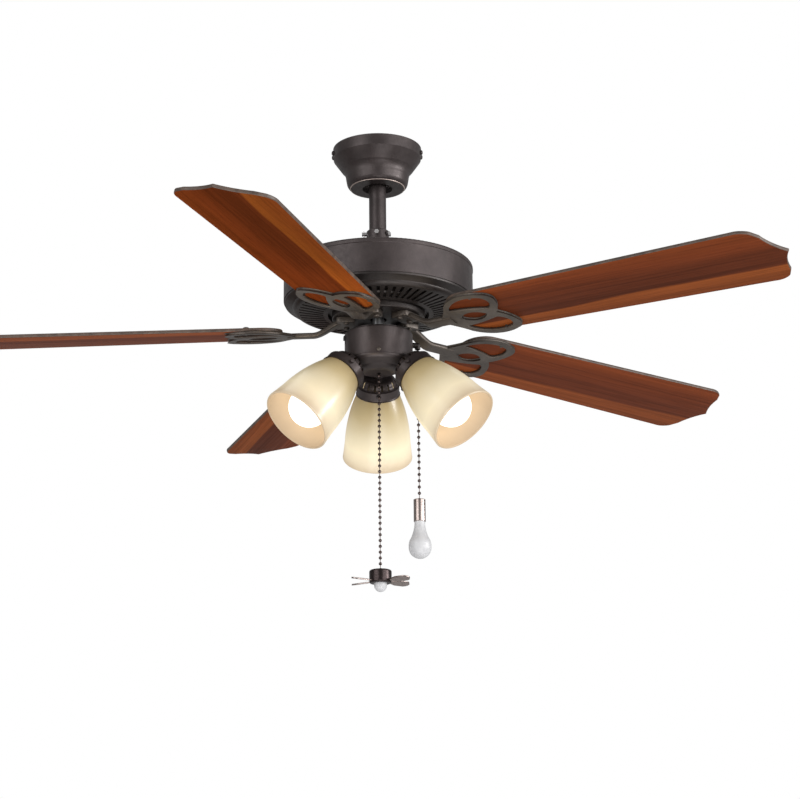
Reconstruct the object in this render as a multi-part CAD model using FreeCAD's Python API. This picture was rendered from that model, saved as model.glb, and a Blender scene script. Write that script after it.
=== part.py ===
import FreeCAD, Part
import math
import os
from FreeCAD import Placement, Rotation, Vector

# A five-blade ceiling fan with a three-lamp light kit, hung on a short rod.
# Millimetres, +Z up. The origin is the centre of the hanger bracket's top face,
# which is also the plane of the ceiling. The fan's axis is the Z axis.

ORIGIN = Vector(0, 0, 0)
UP = Vector(0, 0, 1)
POLE = 0.6                # radius of the small flat where a rounded end meets its axis

# ---------------------------------------------------------------- clearances
running_gap = 0.05        # bearing in its bore, radial
joint_gap = 0.35          # faces on different bodies that pass close to each other
loose_gap = 0.5           # a hole that a thing passes through freely
sheet = 1.2               # pressed steel wall of every housing

# ---------------------------------------------------------- stack of the fan
canopy_height = 62.7
rod_exposed = 67.4
collar_exposed = 59.0
housing_wall_height = 51.3
housing_base_depth = 20.9
hub_proud = 7.0           # hub face below the vented base
arm_drop = 18.9           # underside of the blades below the hub face, at the axis
cup_gap = 22.7            # hub face to the top of the switch cup
cup_height = 41.3
bowl_height = 17.5

canopy_bottom_z = -canopy_height
housing_top_z = canopy_bottom_z - rod_exposed - collar_exposed
wall_bottom_z = housing_top_z - housing_wall_height
base_inner_z = wall_bottom_z - housing_base_depth
hub_face_z = base_inner_z - hub_proud
blade_z = hub_face_z - arm_drop
cup_top_z = hub_face_z - cup_gap
cup_bottom_z = cup_top_z - cup_height
bowl_bottom_z = cup_bottom_z - bowl_height

# -------------------------------------------------- hanger bracket and canopy
canopy_r = 66.0
canopy_band = 16.2        # upright band below the rim
canopy_shoulder_r = 53.5
canopy_shoulder_drop = 16.8
canopy_neck_r = 46.8
canopy_neck_drop = 14.0
canopy_lip_r = 39.3
canopy_hole_r = 22.4
bracket_thickness = 2.5
bracket_half_length = 60.0
bracket_half_width = 20.0
bracket_tab_drop = 17.0
leg_half_spacing = 33.0
slot_spacing = 88.9
slot_half_width = 2.75
slot_length = 14.0
wire_hole_r = 13.0
canopy_screw_r = 2.0
canopy_screw_head_r = 3.6
canopy_screw_angle = 8.0  # each pair stands this far either side of the X axis
canopy_screw_drop = 8.2

# ------------------------------------------------------------ ball, rod, pins
ball_r = 22.0
ball_drop = 38.0          # ball centre below the ceiling
ball_top = 10.0           # flat top above the centre
ball_bottom = 17.0        # flat bottom below the centre
seat_r = 31.0
seat_top = 5.5            # seat ring, measured down from the ball centre
seat_bottom = 13.0
key_width = 4.0
key_depth = 2.5
tilt_limit = 15.0         # how far the ball can lean in its seat
rod_r = 12.7
rod_wall = 2.0
rod_above_ball = 18.0
rod_in_collar = 20.0
pin_r = 3.0
ball_pin_length = 34.0
collar_pin_proud = 2.8    # head of the lower pin outside the collar
clip_end_proud = 7.0      # and its other end, which carries the clip
clip_wire_r = 0.8
clip_loop_r = 2.6
wire_r = 1.3
wire_half_spacing = 1.8
wire_gap = 0.3            # between the wires and the cross pins

ball_z = -ball_drop
rod_top_z = ball_z + rod_above_ball
collar_top_z = housing_top_z + collar_exposed
rod_bottom_z = collar_top_z - rod_in_collar

# ------------------------------------------------------------- motor housing
collar_r = 16.5
collar_flange_r = 32.0
collar_flange = 4.0
collar_below_flange = 8.0
collar_pin_drop = 4.5
set_screw_r = 2.2
set_screw_drop = 6.5
set_screw_proud = 4.0
housing_r = 140.0
housing_cap_skirt = 7.0   # the top cover's edge band
housing_step = 0.7        # how far the wall stands inside that band
housing_corner = 3.0
spigot_height = 6.0       # base tucked up inside the wall
base_gap = 1.0            # dark joint between wall and base
base_shelf_r = housing_r - 1.8
base_bead_r = housing_r - 13.6
base_bead_drop = 8.3
base_rim_r = housing_r - 20.5
base_rim_drop = 14.8
base_opening_r = 73.4
vent_count = 60
vent_inner_r = 81.0
vent_outer_r = housing_r - 23.5
vent_width = 4.6
top_screw_ring_r = 25.0
cover_screw_r = 2.0
cover_screw_head_r = 3.8
cover_screw_head = 2.0
cover_screw_length = 7.0

# ---------------------------------------------------------------------- motor
shaft_r = 8.5
shaft_bore_r = 6.6
bearing_r = 17.5
bearing_width = 10.0
bearing_race = 2.6
rotor_r = 92.0
rotor_wall = 4.0
rotor_top_gap = 2.5       # below the collar
rotor_plate = 4.0
cage_thickness = 7.0
cage_height = 26.0
air_gap = 0.6
core_height = 20.0
core_gap = 1.5            # between the core and each bearing
core_slots = 16
core_slot_width = 8.0
core_slot_inner_r = 50.0
core_slot_depth = 21.0
winding_rise = 5.0
hub_r = 68.0
hub_core_r = 26.0

collar_bottom_z = housing_top_z - sheet - collar_flange - collar_below_flange
shaft_top_z = rod_bottom_z
rotor_top_z = collar_bottom_z - rotor_top_gap
rotor_mid_z = rotor_top_z - rotor_plate - bearing_width - core_gap - core_height / 2
rotor_bottom_z = 2 * rotor_mid_z - rotor_top_z
cage_r = rotor_r - rotor_wall
core_r = cage_r - cage_thickness - air_gap

# ------------------------------------------------------------ blades and arms
blade_count = 5
blade_angle = 36.4        # direction of the first blade
blade_span = 1320.8       # circle swept by the tips
blade_root_r = 140.0
blade_root_half = 57.0
blade_root_corner = 35.0
blade_end_r = blade_span / 2 - 52.4         # where the straight edges end
blade_end_half = 68.2
blade_corner_r = blade_span / 2 - 27.4
blade_corner_half = 60.5
blade_shoulder_r = blade_span / 2 - 19.6
blade_shoulder_half = 47.0
blade_scoop_r = blade_span / 2 - 11.9
blade_scoop_half = 20.0
blade_thickness = 5.0
blade_pitch = 10.6
blade_droop = 1.5
arm_plate = 4.5
arm_pad = 8.5             # thickness of the pad under the hub
arm_pad_inner_r = 34.0
arm_pad_outer_r = 62.0
arm_pad_half = 19.0
arm_neck = 7.5            # thickness of the strap
arm_neck_half = 10.0
arm_bend_r = 51.0         # where the strap starts to fall and twist
arm_level_r = 96.0        # where it runs level, pitched like the blade
arm_neck_end_r = 133.0
arm_neck_stations = 8     # cross-sections from one to the other
arm_screw_ring_r = 47.0
arm_screw_half = 12.0
arm_screw_r = 2.5
arm_screw_head_r = 4.4
arm_screw_head = 2.8
arm_screw_bite = 12.0
blade_screw_r = 2.2
blade_screw_head_r = 4.6
blade_screw_head = 2.2
blade_screw_spots = ((147.0, 0.0), (192.0, 48.6), (192.0, -48.6))

# ---------------------------------------------------------- switch cup and bowl
cup_r = 49.8
plate_thickness = 2.0
plate_r = cup_r - 3.8
plate_hub_r = 15.0
plate_hub_height = 6.0
plate_screw_ring_r = 36.0
nut_r = 13.5
nut_height = 5.0
shaft_below_cup_top = 12.0
cup_screw_drop = 37.0     # below the cup's top
cup_screw_angle = -90.0
small_screw_r = 1.8
small_screw_head_r = 3.0
small_screw_head = 1.6
bowl_flange_height = 9.0
bowl_ridge_r = 33.0
bowl_ridge_drop = 11.5
bowl_shoulder_r = cup_r - 3.8
bowl_shoulder_drop = 6.0
bowl_floor_r = 16.0
lamp_stub_r = 6.8
lamp_stub_length = 10.0
reverse_angle = 190.0
reverse_slot_width = 7.0
reverse_slot_height = 14.0
reverse_slot_drop = 4.0
reverse_body = (10.0, 14.0, 18.0)
reverse_track = 3.0       # depth of the groove the slider runs in
slider_height = 6.5
slider_proud = 2.2
capacitor_size = (18.0, 32.0, 24.0)
capacitor_at = (-22.0, -14.0)
light_switch_size = (15.0, 16.0, 18.0)
fan_switch_r = 12.0
fan_switch_height = 14.0

# -------------------------------------------------------------------- lamps
lamp_count = 3
lamp_angle = 91.25        # direction of the first lamp
lamp_tilt = 42.5          # lamp axis away from straight down
lamp_rim_r = cup_r + 15.5 # centre of the holder's rim from the fan's axis
lamp_rim_drop = 11.5      # and below the bowl's floor
holder_band = 14.0
holder_r = 31.6
holder_rim_r = 33.0
holder_wall = 1.4
holder_dome_r = 25.5
holder_dome_height = 13.0
holder_vents = 16
holder_vent_width = 3.0
shade_length = 107.8
shade_wall = 3.2
shade_neck_r = 28.4
shade_neck_height = 11.0
shade_throat_r = 31.2
shade_upper_r = 41.4
shade_upper_at = 30.0
shade_lower_r = 49.1
shade_lower_at = 80.0
shade_middle_r = 46.6     # halfway between those two
shade_mouth_r = 52.2
socket_r = 18.5
socket_bottom = 27.0      # below the rim
bulb_r = 29.6
bulb_centre = 76.0        # below the rim
bulb_neck_r = 13.0
bulb_neck_at = 28.0
cap_r = 12.9
cap_length = 24.0
thumb_r = 3.4
thumb_length = 5.0
thumb_shank_r = 1.6
thumb_at = 9.0            # above the rim
thumb_phases = (60.0, 77.0, 43.0)

# ------------------------------------------------------------------ pull chains
chain_bead_r = 2.4
chain_bore_r = 3.0
fan_chain_drop = 292.0    # bowl floor to the pendant
chain_hidden = 13.0       # length kept inside the switch's guide
fan_hub_r = 16.0
fan_hub_height = 19.9
fan_hub_bevel = 1.5
paddle_reach = 47.5
paddle_half = 7.0
paddle_root_half = 3.2
paddle_thickness = 2.0
paddle_rise = 2.5         # underside of the paddles above the hub's foot
paddle_pitch = 12.0
paddle_angles = (32.0, 148.0, 212.0, 328.0)
fan_tip_r = 9.2
fan_tip_drop = 12.5
light_chain_angle = 10.0
light_chain_r = cup_r + 8.1
light_chain_drop = 226.2  # guide's mouth to the pendant
guide_r = 4.2
guide_drop = 14.0         # guide's axis below the cup's top
guide_mouth_drop = 6.0
sleeve_r = 8.6
sleeve_height = 33.0
lamp_pendant_neck_r = 7.6
lamp_pendant_r = 16.3
lamp_pendant_length = 54.0
lamp_pendant_widest = 36.0


# =================================================================== helpers
def at(r, z):
    """A point of a profile that is turned about the Z axis."""
    return Vector(r, 0, z)


def line(a, b):
    return Part.LineSegment(a, b).toShape()


def arc(a, middle, b):
    return Part.Arc(a, middle, b).toShape()


def turned(edges):
    """Solid of revolution of a closed profile."""
    return Part.Face(Part.Wire(edges)).revolve(ORIGIN, UP, 360)


def turned_polygon(*points):
    corners = [at(r, z) for r, z in points]
    return Part.Face(Part.makePolygon(corners + corners[:1])).revolve(ORIGIN, UP, 360)


def turned_shell(edges, wall):
    """Shell of revolution of an open profile; the wall lies on the profile's left side."""
    return Part.Wire(edges).makeOffset2D(wall, 0, True, True).revolve(ORIGIN, UP, 360)


def disc(r, z_low, z_high):
    return Part.makeCylinder(r, z_high - z_low, Vector(0, 0, z_low))


def tube(r_out, r_in, z_low, z_high):
    return disc(r_out, z_low, z_high).cut(disc(r_in, z_low, z_high))


def block(x_low, x_high, y_low, y_high, z_low, z_high):
    return Part.makeBox(x_high - x_low, y_high - y_low, z_high - z_low, Vector(x_low, y_low, z_low))


def rod_between(start, end, r):
    return Part.makeCylinder(r, (end - start).Length, start, end - start)


def spun(shape, angle):
    """Copy turned about the fan's axis."""
    return shape.transformed(Placement(ORIGIN, Rotation(UP, angle)).toMatrix(), True)


def ring_of(shape, count, start=0.0):
    return [spun(shape, start + 360.0 * i / count) for i in range(count)]


def drilled(shape, tools):
    return shape.cut(Part.makeCompound(tools))


def screw(head_r, head, shank_r, shank):
    """Pan-head screw: the head stands on z = 0, the shank goes down."""
    top = turned([
        line(at(0, 0), at(head_r, 0)),
        line(at(head_r, 0), at(head_r, head * 0.4)),
        arc(at(head_r, head * 0.4), at(head_r * 0.75, head * 0.86), at(POLE, head)),
        line(at(POLE, head), at(0, head)),
        line(at(0, head), at(0, 0)),
    ])
    return top.fuse(disc(shank_r, -shank, 0)).removeSplitter()


def aimed(shape, position, direction):
    """Shape moved so that its +Z points along direction."""
    turn = Rotation(UP, direction)
    return shape.transformed(Placement(position, turn).toMatrix(), True)


def polar(r, angle, z=0.0):
    a = math.radians(angle)
    return Vector(r * math.cos(a), r * math.sin(a), z)


def export(name, *solids):
    bodies = [body for solid in solids for body in solid.Solids]
    shape = bodies[0] if len(bodies) == 1 else Part.makeCompound(bodies)
    shape.exportStep(os.path.join("parts", name + ".step"))


# ========================================================= bracket and canopy
def canopy_screw_places():
    for side in (0.0, 180.0):
        for offset in (-canopy_screw_angle, canopy_screw_angle):
            yield side + offset


def canopy_holes(r):
    length = canopy_r - bracket_half_length + 12
    return [
        rod_between(
            polar(canopy_r - length, angle, -canopy_screw_drop),
            polar(canopy_r + 1, angle, -canopy_screw_drop),
            r,
        )
        for angle in canopy_screw_places()
    ]


def ball_axle(r):
    """Cylinder along the X axis through the ball's centre, which the key and its groove follow."""
    return rod_between(Vector(-ball_r, 0, ball_z), Vector(ball_r, 0, ball_z), r)


def leaning_rod(r):
    """Cylinder along the rod's axis where the rod leans furthest towards the key."""
    lean = math.radians(tilt_limit)
    centre = Vector(0, 0, ball_z)
    return rod_between(centre, centre - Vector(0, math.sin(lean), math.cos(lean)) * 2 * ball_r, r)


def make_hanger_bracket():
    w = bracket_half_width
    t = bracket_thickness
    plate = block(-bracket_half_length, bracket_half_length, -w, w, -t, 0)
    shape = plate.cut(disc(wire_hole_r, -t, 0))
    half_slot = slot_length / 2 - slot_half_width
    for side in (-1, 1):
        centre = side * slot_spacing / 2
        slot = block(centre - half_slot, centre + half_slot, -slot_half_width, slot_half_width, -t, 0)
        for end in (centre - half_slot, centre + half_slot):
            slot = slot.fuse(Part.makeCylinder(slot_half_width, t, Vector(end, 0, -t)))
        shape = shape.cut(slot)
        tab_outer = side * bracket_half_length
        tab = block(*sorted((tab_outer - side * t, tab_outer)), -w, w, -bracket_tab_drop, -t)
        leg_outer = side * leg_half_spacing
        leg_bottom_z = ball_z - seat_bottom
        leg = block(*sorted((leg_outer - side * t, leg_outer)), -w, w, leg_bottom_z, -t)
        shape = shape.fuse([tab, leg])
    seat = disc(seat_r, ball_z - seat_bottom, ball_z - seat_top)
    bridge = block(-leg_half_spacing, leg_half_spacing, -w, w, ball_z - seat_bottom, ball_z - seat_top)
    seat = seat.common(block(-seat_r, seat_r, -w, w, ball_z - seat_bottom, ball_z - seat_top)).fuse(bridge)
    seat = seat.cut(Part.makeSphere(ball_r + joint_gap, Vector(0, 0, ball_z)))
    mouth = rod_r + 2 * loose_gap
    seat = seat.cut(block(-mouth, mouth, 0, w, ball_z - seat_bottom, ball_z - seat_top))
    key = block(-key_width / 2, key_width / 2, -ball_r - 4, 0, ball_z - seat_bottom, ball_z + 2)
    key = key.cut([ball_axle(ball_r - key_depth), leaning_rod(rod_r + joint_gap)])
    shape = shape.fuse([seat, key]).removeSplitter()
    return drilled(shape, canopy_holes(canopy_screw_r))


def make_canopy():
    shoulder_z = -canopy_band - canopy_shoulder_drop
    neck_z = shoulder_z - canopy_neck_drop
    lip_z = canopy_bottom_z
    outline = [
        line(at(canopy_hole_r, lip_z), at(canopy_lip_r, lip_z)),
        arc(at(canopy_lip_r, lip_z), at(canopy_lip_r + 4.6, lip_z + 4.2), at(canopy_neck_r - 1.2, lip_z + 9)),
        line(at(canopy_neck_r - 1.2, lip_z + 9), at(canopy_neck_r, neck_z)),
        arc(
            at(canopy_neck_r, neck_z),
            at(canopy_neck_r + 1.7, neck_z + 7.4),
            at(canopy_shoulder_r, shoulder_z),
        ),
        arc(
            at(canopy_shoulder_r, shoulder_z),
            at(canopy_r - 6.7, -canopy_band - 8.6),
            at(canopy_r - 0.7, -canopy_band),
        ),
        line(at(canopy_r - 0.7, -canopy_band), at(canopy_r, 0)),
    ]
    shell = turned_shell(outline, sheet).common(disc(canopy_r + 1, canopy_bottom_z, 0))
    return drilled(shell, canopy_holes(canopy_screw_r))


def make_canopy_screws():
    shank = canopy_r - bracket_half_length + 6
    one = screw(canopy_screw_head_r, 2.6, canopy_screw_r, shank)
    return [
        aimed(one, polar(canopy_r, angle, -canopy_screw_drop), polar(1, angle))
        for angle in canopy_screw_places()
    ]


# ============================================================ ball, rod, pins
def cross_pin(left, right, z):
    return rod_between(Vector(-left, 0, z), Vector(right, 0, z), pin_r)


def ball_pin():
    half = ball_pin_length / 2
    return cross_pin(half, half, ball_z + ball_top - pin_r)


def collar_pin():
    z = collar_top_z - collar_pin_drop
    return cross_pin(collar_r + clip_end_proud, collar_r + collar_pin_proud, z)


def make_hanger_ball():
    ball = Part.makeSphere(ball_r, Vector(0, 0, ball_z))
    ball = ball.common(disc(ball_r, ball_z - ball_bottom, ball_z + ball_top))
    half = key_width / 2 + joint_gap
    groove = block(-half, half, -ball_r, 0, ball_z - ball_r, ball_z + ball_r)
    groove = groove.cut(ball_axle(ball_r - key_depth - joint_gap))
    top = ball_z + ball_top
    notch = block(-ball_pin_length / 2, ball_pin_length / 2, -pin_r, pin_r, top - pin_r, top)
    bored = drilled(ball, [disc(rod_r, ball_z - ball_r, ball_z + ball_r), groove, notch])
    return bored.cut(ball_pin())


def make_downrod():
    rod = tube(rod_r, rod_r - rod_wall, rod_bottom_z, rod_top_z)
    return drilled(rod, [ball_pin(), collar_pin()])


def make_rod_pins():
    """Both cross pins, and the wire clip that keeps the lower one in."""
    x = -collar_r - clip_end_proud * 0.6
    z = collar_top_z - collar_pin_drop
    reach = pin_r + 2
    foot = Vector(x, 0, z - reach)
    head = Vector(x, 0, z + reach)
    loop_centre = foot - Vector(0, 0, clip_loop_r)
    loop = Part.makeTorus(clip_loop_r, clip_wire_r + 0.1, loop_centre, Vector(1, 0, 0))
    clip = rod_between(foot, head, clip_wire_r).fuse(loop)
    lower = collar_pin().cut(rod_between(foot, head, clip_wire_r))
    return ball_pin(), lower, clip


def make_lead_wires():
    top = rod_top_z + 8
    bottom = cup_top_z - shaft_below_cup_top - 4
    y = pin_r + wire_r + wire_gap
    return [
        Part.makeCylinder(wire_r, top - bottom, Vector(side * wire_half_spacing, face * y, bottom))
        for side in (-1, 1) for face in (-1, 1)
    ]


# =============================================================== motor housing
def top_screw_holes(r):
    low = housing_top_z - sheet - collar_flange
    return ring_of(Part.makeCylinder(r, collar_flange + 3 * sheet, Vector(top_screw_ring_r, 0, low)), 3, 30)


def set_screw_angles():
    return (265.0, 325.0)


def set_screw_hole(angle):
    z = collar_top_z - set_screw_drop
    return rod_between(polar(rod_r, angle, z), polar(collar_r + 1, angle, z), set_screw_r)


def make_motor_collar():
    flange_top_z = housing_top_z - sheet
    body = turned_polygon(
        (rod_r, collar_top_z), (collar_r - 1, collar_top_z), (collar_r, collar_top_z - 1),
        (collar_r, flange_top_z), (collar_flange_r, flange_top_z),
        (collar_flange_r, flange_top_z - collar_flange), (collar_r, flange_top_z - collar_flange),
        (collar_r, collar_bottom_z), (shaft_r, collar_bottom_z), (shaft_r, rod_bottom_z),
        (rod_r, rod_bottom_z),
    )
    holes = [collar_pin()] + [set_screw_hole(a) for a in set_screw_angles()]
    return drilled(body, holes + top_screw_holes(cover_screw_r))


def make_set_screws():
    z = collar_top_z - set_screw_drop
    screws = []
    for angle in set_screw_angles():
        shank = rod_between(polar(rod_r, angle, z), polar(collar_r + set_screw_proud, angle, z), set_screw_r)
        across = Rotation(UP, polar(1, angle))
        head = Part.makePolygon([Vector(3.6 * math.cos(a), 3.6 * math.sin(a), 0)
                                 for a in (math.radians(60 * i) for i in range(7))])
        head = Part.Face(head).extrude(Vector(0, 0, set_screw_proud - 0.8))
        head = head.transformed(Placement(polar(collar_r + 0.8, angle, z), across).toMatrix(), True)
        screws.append(shank.fuse(head).removeSplitter())
    return screws


def make_housing_top():
    r = housing_r
    band_z = housing_top_z - housing_cap_skirt
    c = housing_corner
    q = c * (1 - math.sqrt(0.5))
    wall_r = r - housing_step
    outline = [
        line(at(collar_r + loose_gap, housing_top_z), at(r - c, housing_top_z)),
        arc(at(r - c, housing_top_z), at(r - q, housing_top_z - q), at(r, housing_top_z - c)),
        line(at(r, housing_top_z - c), at(r, band_z)),
        line(at(r, band_z), at(wall_r, band_z - housing_step)),
        line(at(wall_r, band_z - housing_step), at(wall_r, wall_bottom_z)),
    ]
    shell = turned_shell(outline, -sheet)
    return drilled(shell, top_screw_holes(cover_screw_r))


def make_housing_base():
    spigot_r = housing_r - housing_step - sheet
    shelf_z = wall_bottom_z - base_gap
    bead_z = wall_bottom_z - base_bead_drop
    rim_z = wall_bottom_z - base_rim_drop
    cove = at((base_shelf_r + base_bead_r) / 2 - 1.6, (shelf_z + bead_z) / 2 - 1.2)
    outline = [
        line(at(spigot_r, wall_bottom_z + spigot_height), at(spigot_r, shelf_z)),
        line(at(spigot_r, shelf_z), at(base_shelf_r - 0.4, shelf_z - 2)),
        arc(at(base_shelf_r - 0.4, shelf_z - 2), cove, at(base_bead_r, bead_z)),
        arc(
            at(base_bead_r, bead_z),
            at((base_bead_r + base_rim_r) / 2 + 0.9, (bead_z + rim_z) / 2 - 1.3),
            at(base_rim_r, rim_z),
        ),
        line(at(base_rim_r, rim_z), at(base_opening_r + 1, base_inner_z)),
        line(at(base_opening_r + 1, base_inner_z), at(base_opening_r, base_inner_z + 3)),
    ]
    shell = turned_shell(outline, -sheet)
    vent = block(vent_inner_r, vent_outer_r, -vent_width / 2, vent_width / 2, base_inner_z - 5, rim_z + 5)
    return drilled(shell, ring_of(vent, vent_count))


def make_housing_screws():
    one = screw(cover_screw_head_r, cover_screw_head, cover_screw_r, cover_screw_length - sheet)
    placed = one.transformed(
        Placement(Vector(top_screw_ring_r, 0, housing_top_z), Rotation()).toMatrix(), True
    )
    return ring_of(placed, 3, 30)


# ======================================================================= motor
def bearing_z(index):
    return (rotor_top_z - rotor_plate - bearing_width, rotor_bottom_z + rotor_plate)[index]


def make_motor_shaft():
    return tube(shaft_r, shaft_bore_r, cup_top_z - shaft_below_cup_top, shaft_top_z)


def make_bearings():
    rings = []
    for index in (0, 1):
        low = bearing_z(index)
        high = low + bearing_width
        rings.append(turned_polygon(
            (shaft_r, low), (shaft_r + bearing_race, low), (shaft_r + bearing_race, low + 1),
            (bearing_r - bearing_race, low + 1), (bearing_r - bearing_race, low), (bearing_r, low),
            (bearing_r, high), (bearing_r - bearing_race, high), (bearing_r - bearing_race, high - 1),
            (shaft_r + bearing_race, high - 1), (shaft_r + bearing_race, high), (shaft_r, high),
        ))
    return rings


def make_stator_core():
    core = tube(core_r, shaft_r, rotor_mid_z - core_height / 2, rotor_mid_z + core_height / 2)
    return drilled(core, stator_slots())


def stator_slots():
    half = core_slot_width / 2
    outer = core_slot_inner_r + core_slot_depth
    slot = block(core_slot_inner_r, outer, -half, half,
                 rotor_mid_z - core_height / 2, rotor_mid_z + core_height / 2)
    return ring_of(slot, core_slots)


def make_stator_windings():
    half = core_height / 2
    outer = core_slot_inner_r + core_slot_depth
    mid = (core_slot_inner_r + outer) / 2
    rings = []
    for sign in (-1, 1):
        face = rotor_mid_z + sign * half
        rings.append(turned([
            line(at(core_slot_inner_r - 2, face), at(outer + 2, face)),
            arc(at(outer + 2, face), at(mid, face + sign * winding_rise), at(core_slot_inner_r - 2, face)),
        ]))
    return rings[0].fuse(rings[1:] + stator_slots()).removeSplitter()


def make_rotor_cage():
    half = cage_height / 2
    return tube(cage_r, cage_r - cage_thickness, rotor_mid_z - half, rotor_mid_z + half)


def make_rotor_top():
    seat_low = bearing_z(0)
    bore = bearing_r + running_gap
    split_z = rotor_mid_z
    return turned_polygon(
        (bore, seat_low), (hub_core_r, seat_low), (hub_core_r, rotor_top_z - rotor_plate),
        (cage_r, rotor_top_z - rotor_plate), (cage_r, split_z), (rotor_r, split_z),
        (rotor_r, rotor_top_z - 2), (rotor_r - 2, rotor_top_z), (bore - 4, rotor_top_z),
        (bore - 4, rotor_top_z - rotor_plate), (bore, rotor_top_z - rotor_plate),
    )


def make_rotor_bottom():
    bore = bearing_r + running_gap
    plate_top = rotor_bottom_z + rotor_plate
    floor = bearing_z(1)
    body = turned_polygon(
        (bore, floor), (bore, floor + bearing_width), (hub_core_r, floor + bearing_width),
        (hub_core_r, plate_top),
        (cage_r, plate_top), (cage_r, rotor_mid_z), (rotor_r, rotor_mid_z),
        (rotor_r, rotor_bottom_z + 2), (rotor_r - 2, rotor_bottom_z), (hub_r, rotor_bottom_z),
        (hub_r, hub_face_z + 1), (hub_r - 1, hub_face_z), (bore - 5, hub_face_z), (bore - 5, floor),
    )
    low = hub_face_z
    holes = [
        Part.makeCylinder(arm_screw_r, arm_screw_bite, Vector(arm_screw_ring_r, side * arm_screw_half, low))
        for side in (-1, 1)
    ]
    both = Part.makeCompound(holes)
    return drilled(body, ring_of(both, blade_count, blade_angle))


# ============================================================= blades and arms
def on_blade(shape):
    """From the flat blade frame (x outward, y towards the lower edge) to the fan's frame."""
    pitch = Placement(ORIGIN, Rotation(Vector(1, 0, 0), -blade_pitch))
    droop = Placement(Vector(0, 0, blade_z), Rotation(Vector(0, 1, 0), blade_droop))
    return shape.transformed(droop.multiply(pitch).toMatrix(), True)


def flat(r, w):
    return Vector(r, w, 0)


def mirrored_outline(upper):
    """Closed wire of an outline's upper edges and their mirror images below the X axis."""
    lower = [edge.mirror(ORIGIN, Vector(0, 1, 0)) for edge in upper]
    return Part.Wire(Part.sortEdges(upper + lower)[0])


def make_blade_blank():
    tip_r = blade_span / 2
    corner = blade_root_corner
    bulge = corner * (1 - math.sqrt(0.5))
    root_half = blade_root_half
    upper = [
        line(flat(blade_root_r, 0), flat(blade_root_r, root_half - corner)),
        arc(
            flat(blade_root_r, root_half - corner),
            flat(blade_root_r + bulge, root_half - bulge),
            flat(blade_root_r + corner, root_half),
        ),
        line(flat(blade_root_r + corner, root_half), flat(blade_end_r, blade_end_half)),
        arc(
            flat(blade_end_r, blade_end_half),
            flat(blade_corner_r - 6, blade_corner_half + 4.2),
            flat(blade_corner_r, blade_corner_half),
        ),
        line(flat(blade_corner_r, blade_corner_half), flat(blade_shoulder_r, blade_shoulder_half)),
        arc(
            flat(blade_shoulder_r, blade_shoulder_half),
            flat(blade_scoop_r, blade_scoop_half),
            flat(tip_r, 0),
        ),
    ]
    blank = Part.Face(mirrored_outline(upper)).extrude(Vector(0, 0, blade_thickness))
    return blank


def blade_screw_holes():
    low = -arm_plate
    depth = blade_thickness + arm_plate
    return [Part.makeCylinder(blade_screw_r, depth, Vector(r, w, low)) for r, w in blade_screw_spots]


def make_blade():
    return on_blade(drilled(make_blade_blank(), blade_screw_holes()))


def medallion_outline():
    start = arm_neck_half - 1.5
    upper = [
        line(flat(120, 0), flat(120, start)),
        arc(flat(120, start), flat(129, 19), flat(142, 38)),
        arc(flat(142, 38), flat(174, 57), flat(210, 52)),
        arc(flat(210, 52), flat(220, 44.5), flat(221.5, 31)),
        arc(flat(221.5, 31), flat(215, 13.5), flat(204, 0)),
    ]
    return mirrored_outline(upper)


def medallion_openings():
    """Almond in the middle, and the leaf-shaped opening on each side of it."""
    almond = mirrored_outline([
        line(flat(147.5, 0), flat(147.5, 3)),
        arc(flat(147.5, 3), flat(165, 13.2), flat(192, 0)),
    ])
    leaf = Part.Wire([
        arc(flat(141, 24.5), flat(169, 47), flat(206, 44)),
        arc(flat(206, 44), flat(211, 31), flat(199, 13.5)),
        arc(flat(199, 13.5), flat(173, 20.4), flat(141, 24.5)),
    ])
    return [almond, leaf, leaf.mirror(ORIGIN, Vector(0, 1, 0))]


def make_medallion():
    plate = Part.Face(medallion_outline()).extrude(Vector(0, 0, arm_plate))
    cutters = [Part.Face(wire).extrude(Vector(0, 0, arm_plate)) for wire in medallion_openings()]
    plate = drilled(plate, cutters)
    plate.translate(Vector(0, 0, -arm_plate))
    return on_blade(drilled(plate, blade_screw_holes()))


def neck_section(r):
    """Rectangle across the strap: level under the hub, pitched like the blade further out."""
    run = arm_level_r - arm_bend_r
    t = min((r - arm_bend_r) / run, 1.0)
    share = t * t * (3 - 2 * t)
    start = hub_face_z - arm_pad / 2
    fall = start - (blade_z - r * math.sin(math.radians(blade_droop)) - arm_plate / 2)
    slope = 6 * t * (1 - t) * fall / run
    half = arm_neck / 2 * math.hypot(1, slope)
    place = Placement(Vector(r, 0, start - share * fall), Rotation(Vector(1, 0, 0), -share * blade_pitch))
    w = arm_neck_half
    corners = [(-w, -half), (w, -half), (w, half), (-w, half), (-w, -half)]
    return Part.makePolygon([place.multVec(Vector(0, y, z)) for y, z in corners])


def make_arm_neck():
    """Pad under the hub, and the strap that falls from it and runs on under the blade's root."""
    step = (arm_level_r - arm_bend_r) / arm_neck_stations
    stations = [arm_bend_r + step * i for i in range(arm_neck_stations + 1)]
    stations += [(arm_level_r + arm_neck_end_r) / 2, arm_neck_end_r]
    strap = Part.makeLoft([neck_section(r) for r in stations], True)
    low = hub_face_z - arm_pad
    pad = block(arm_pad_inner_r, arm_pad_outer_r, -arm_pad_half, arm_pad_half, low, hub_face_z)
    pad = pad.makeFillet(6, [e for e in pad.Edges if abs(e.tangentAt(e.FirstParameter).z) > 0.9])
    return pad.fuse(strap)


def arm_screw_spots():
    return [Vector(arm_screw_ring_r, side * arm_screw_half, 0) for side in (-1, 1)]


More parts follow.
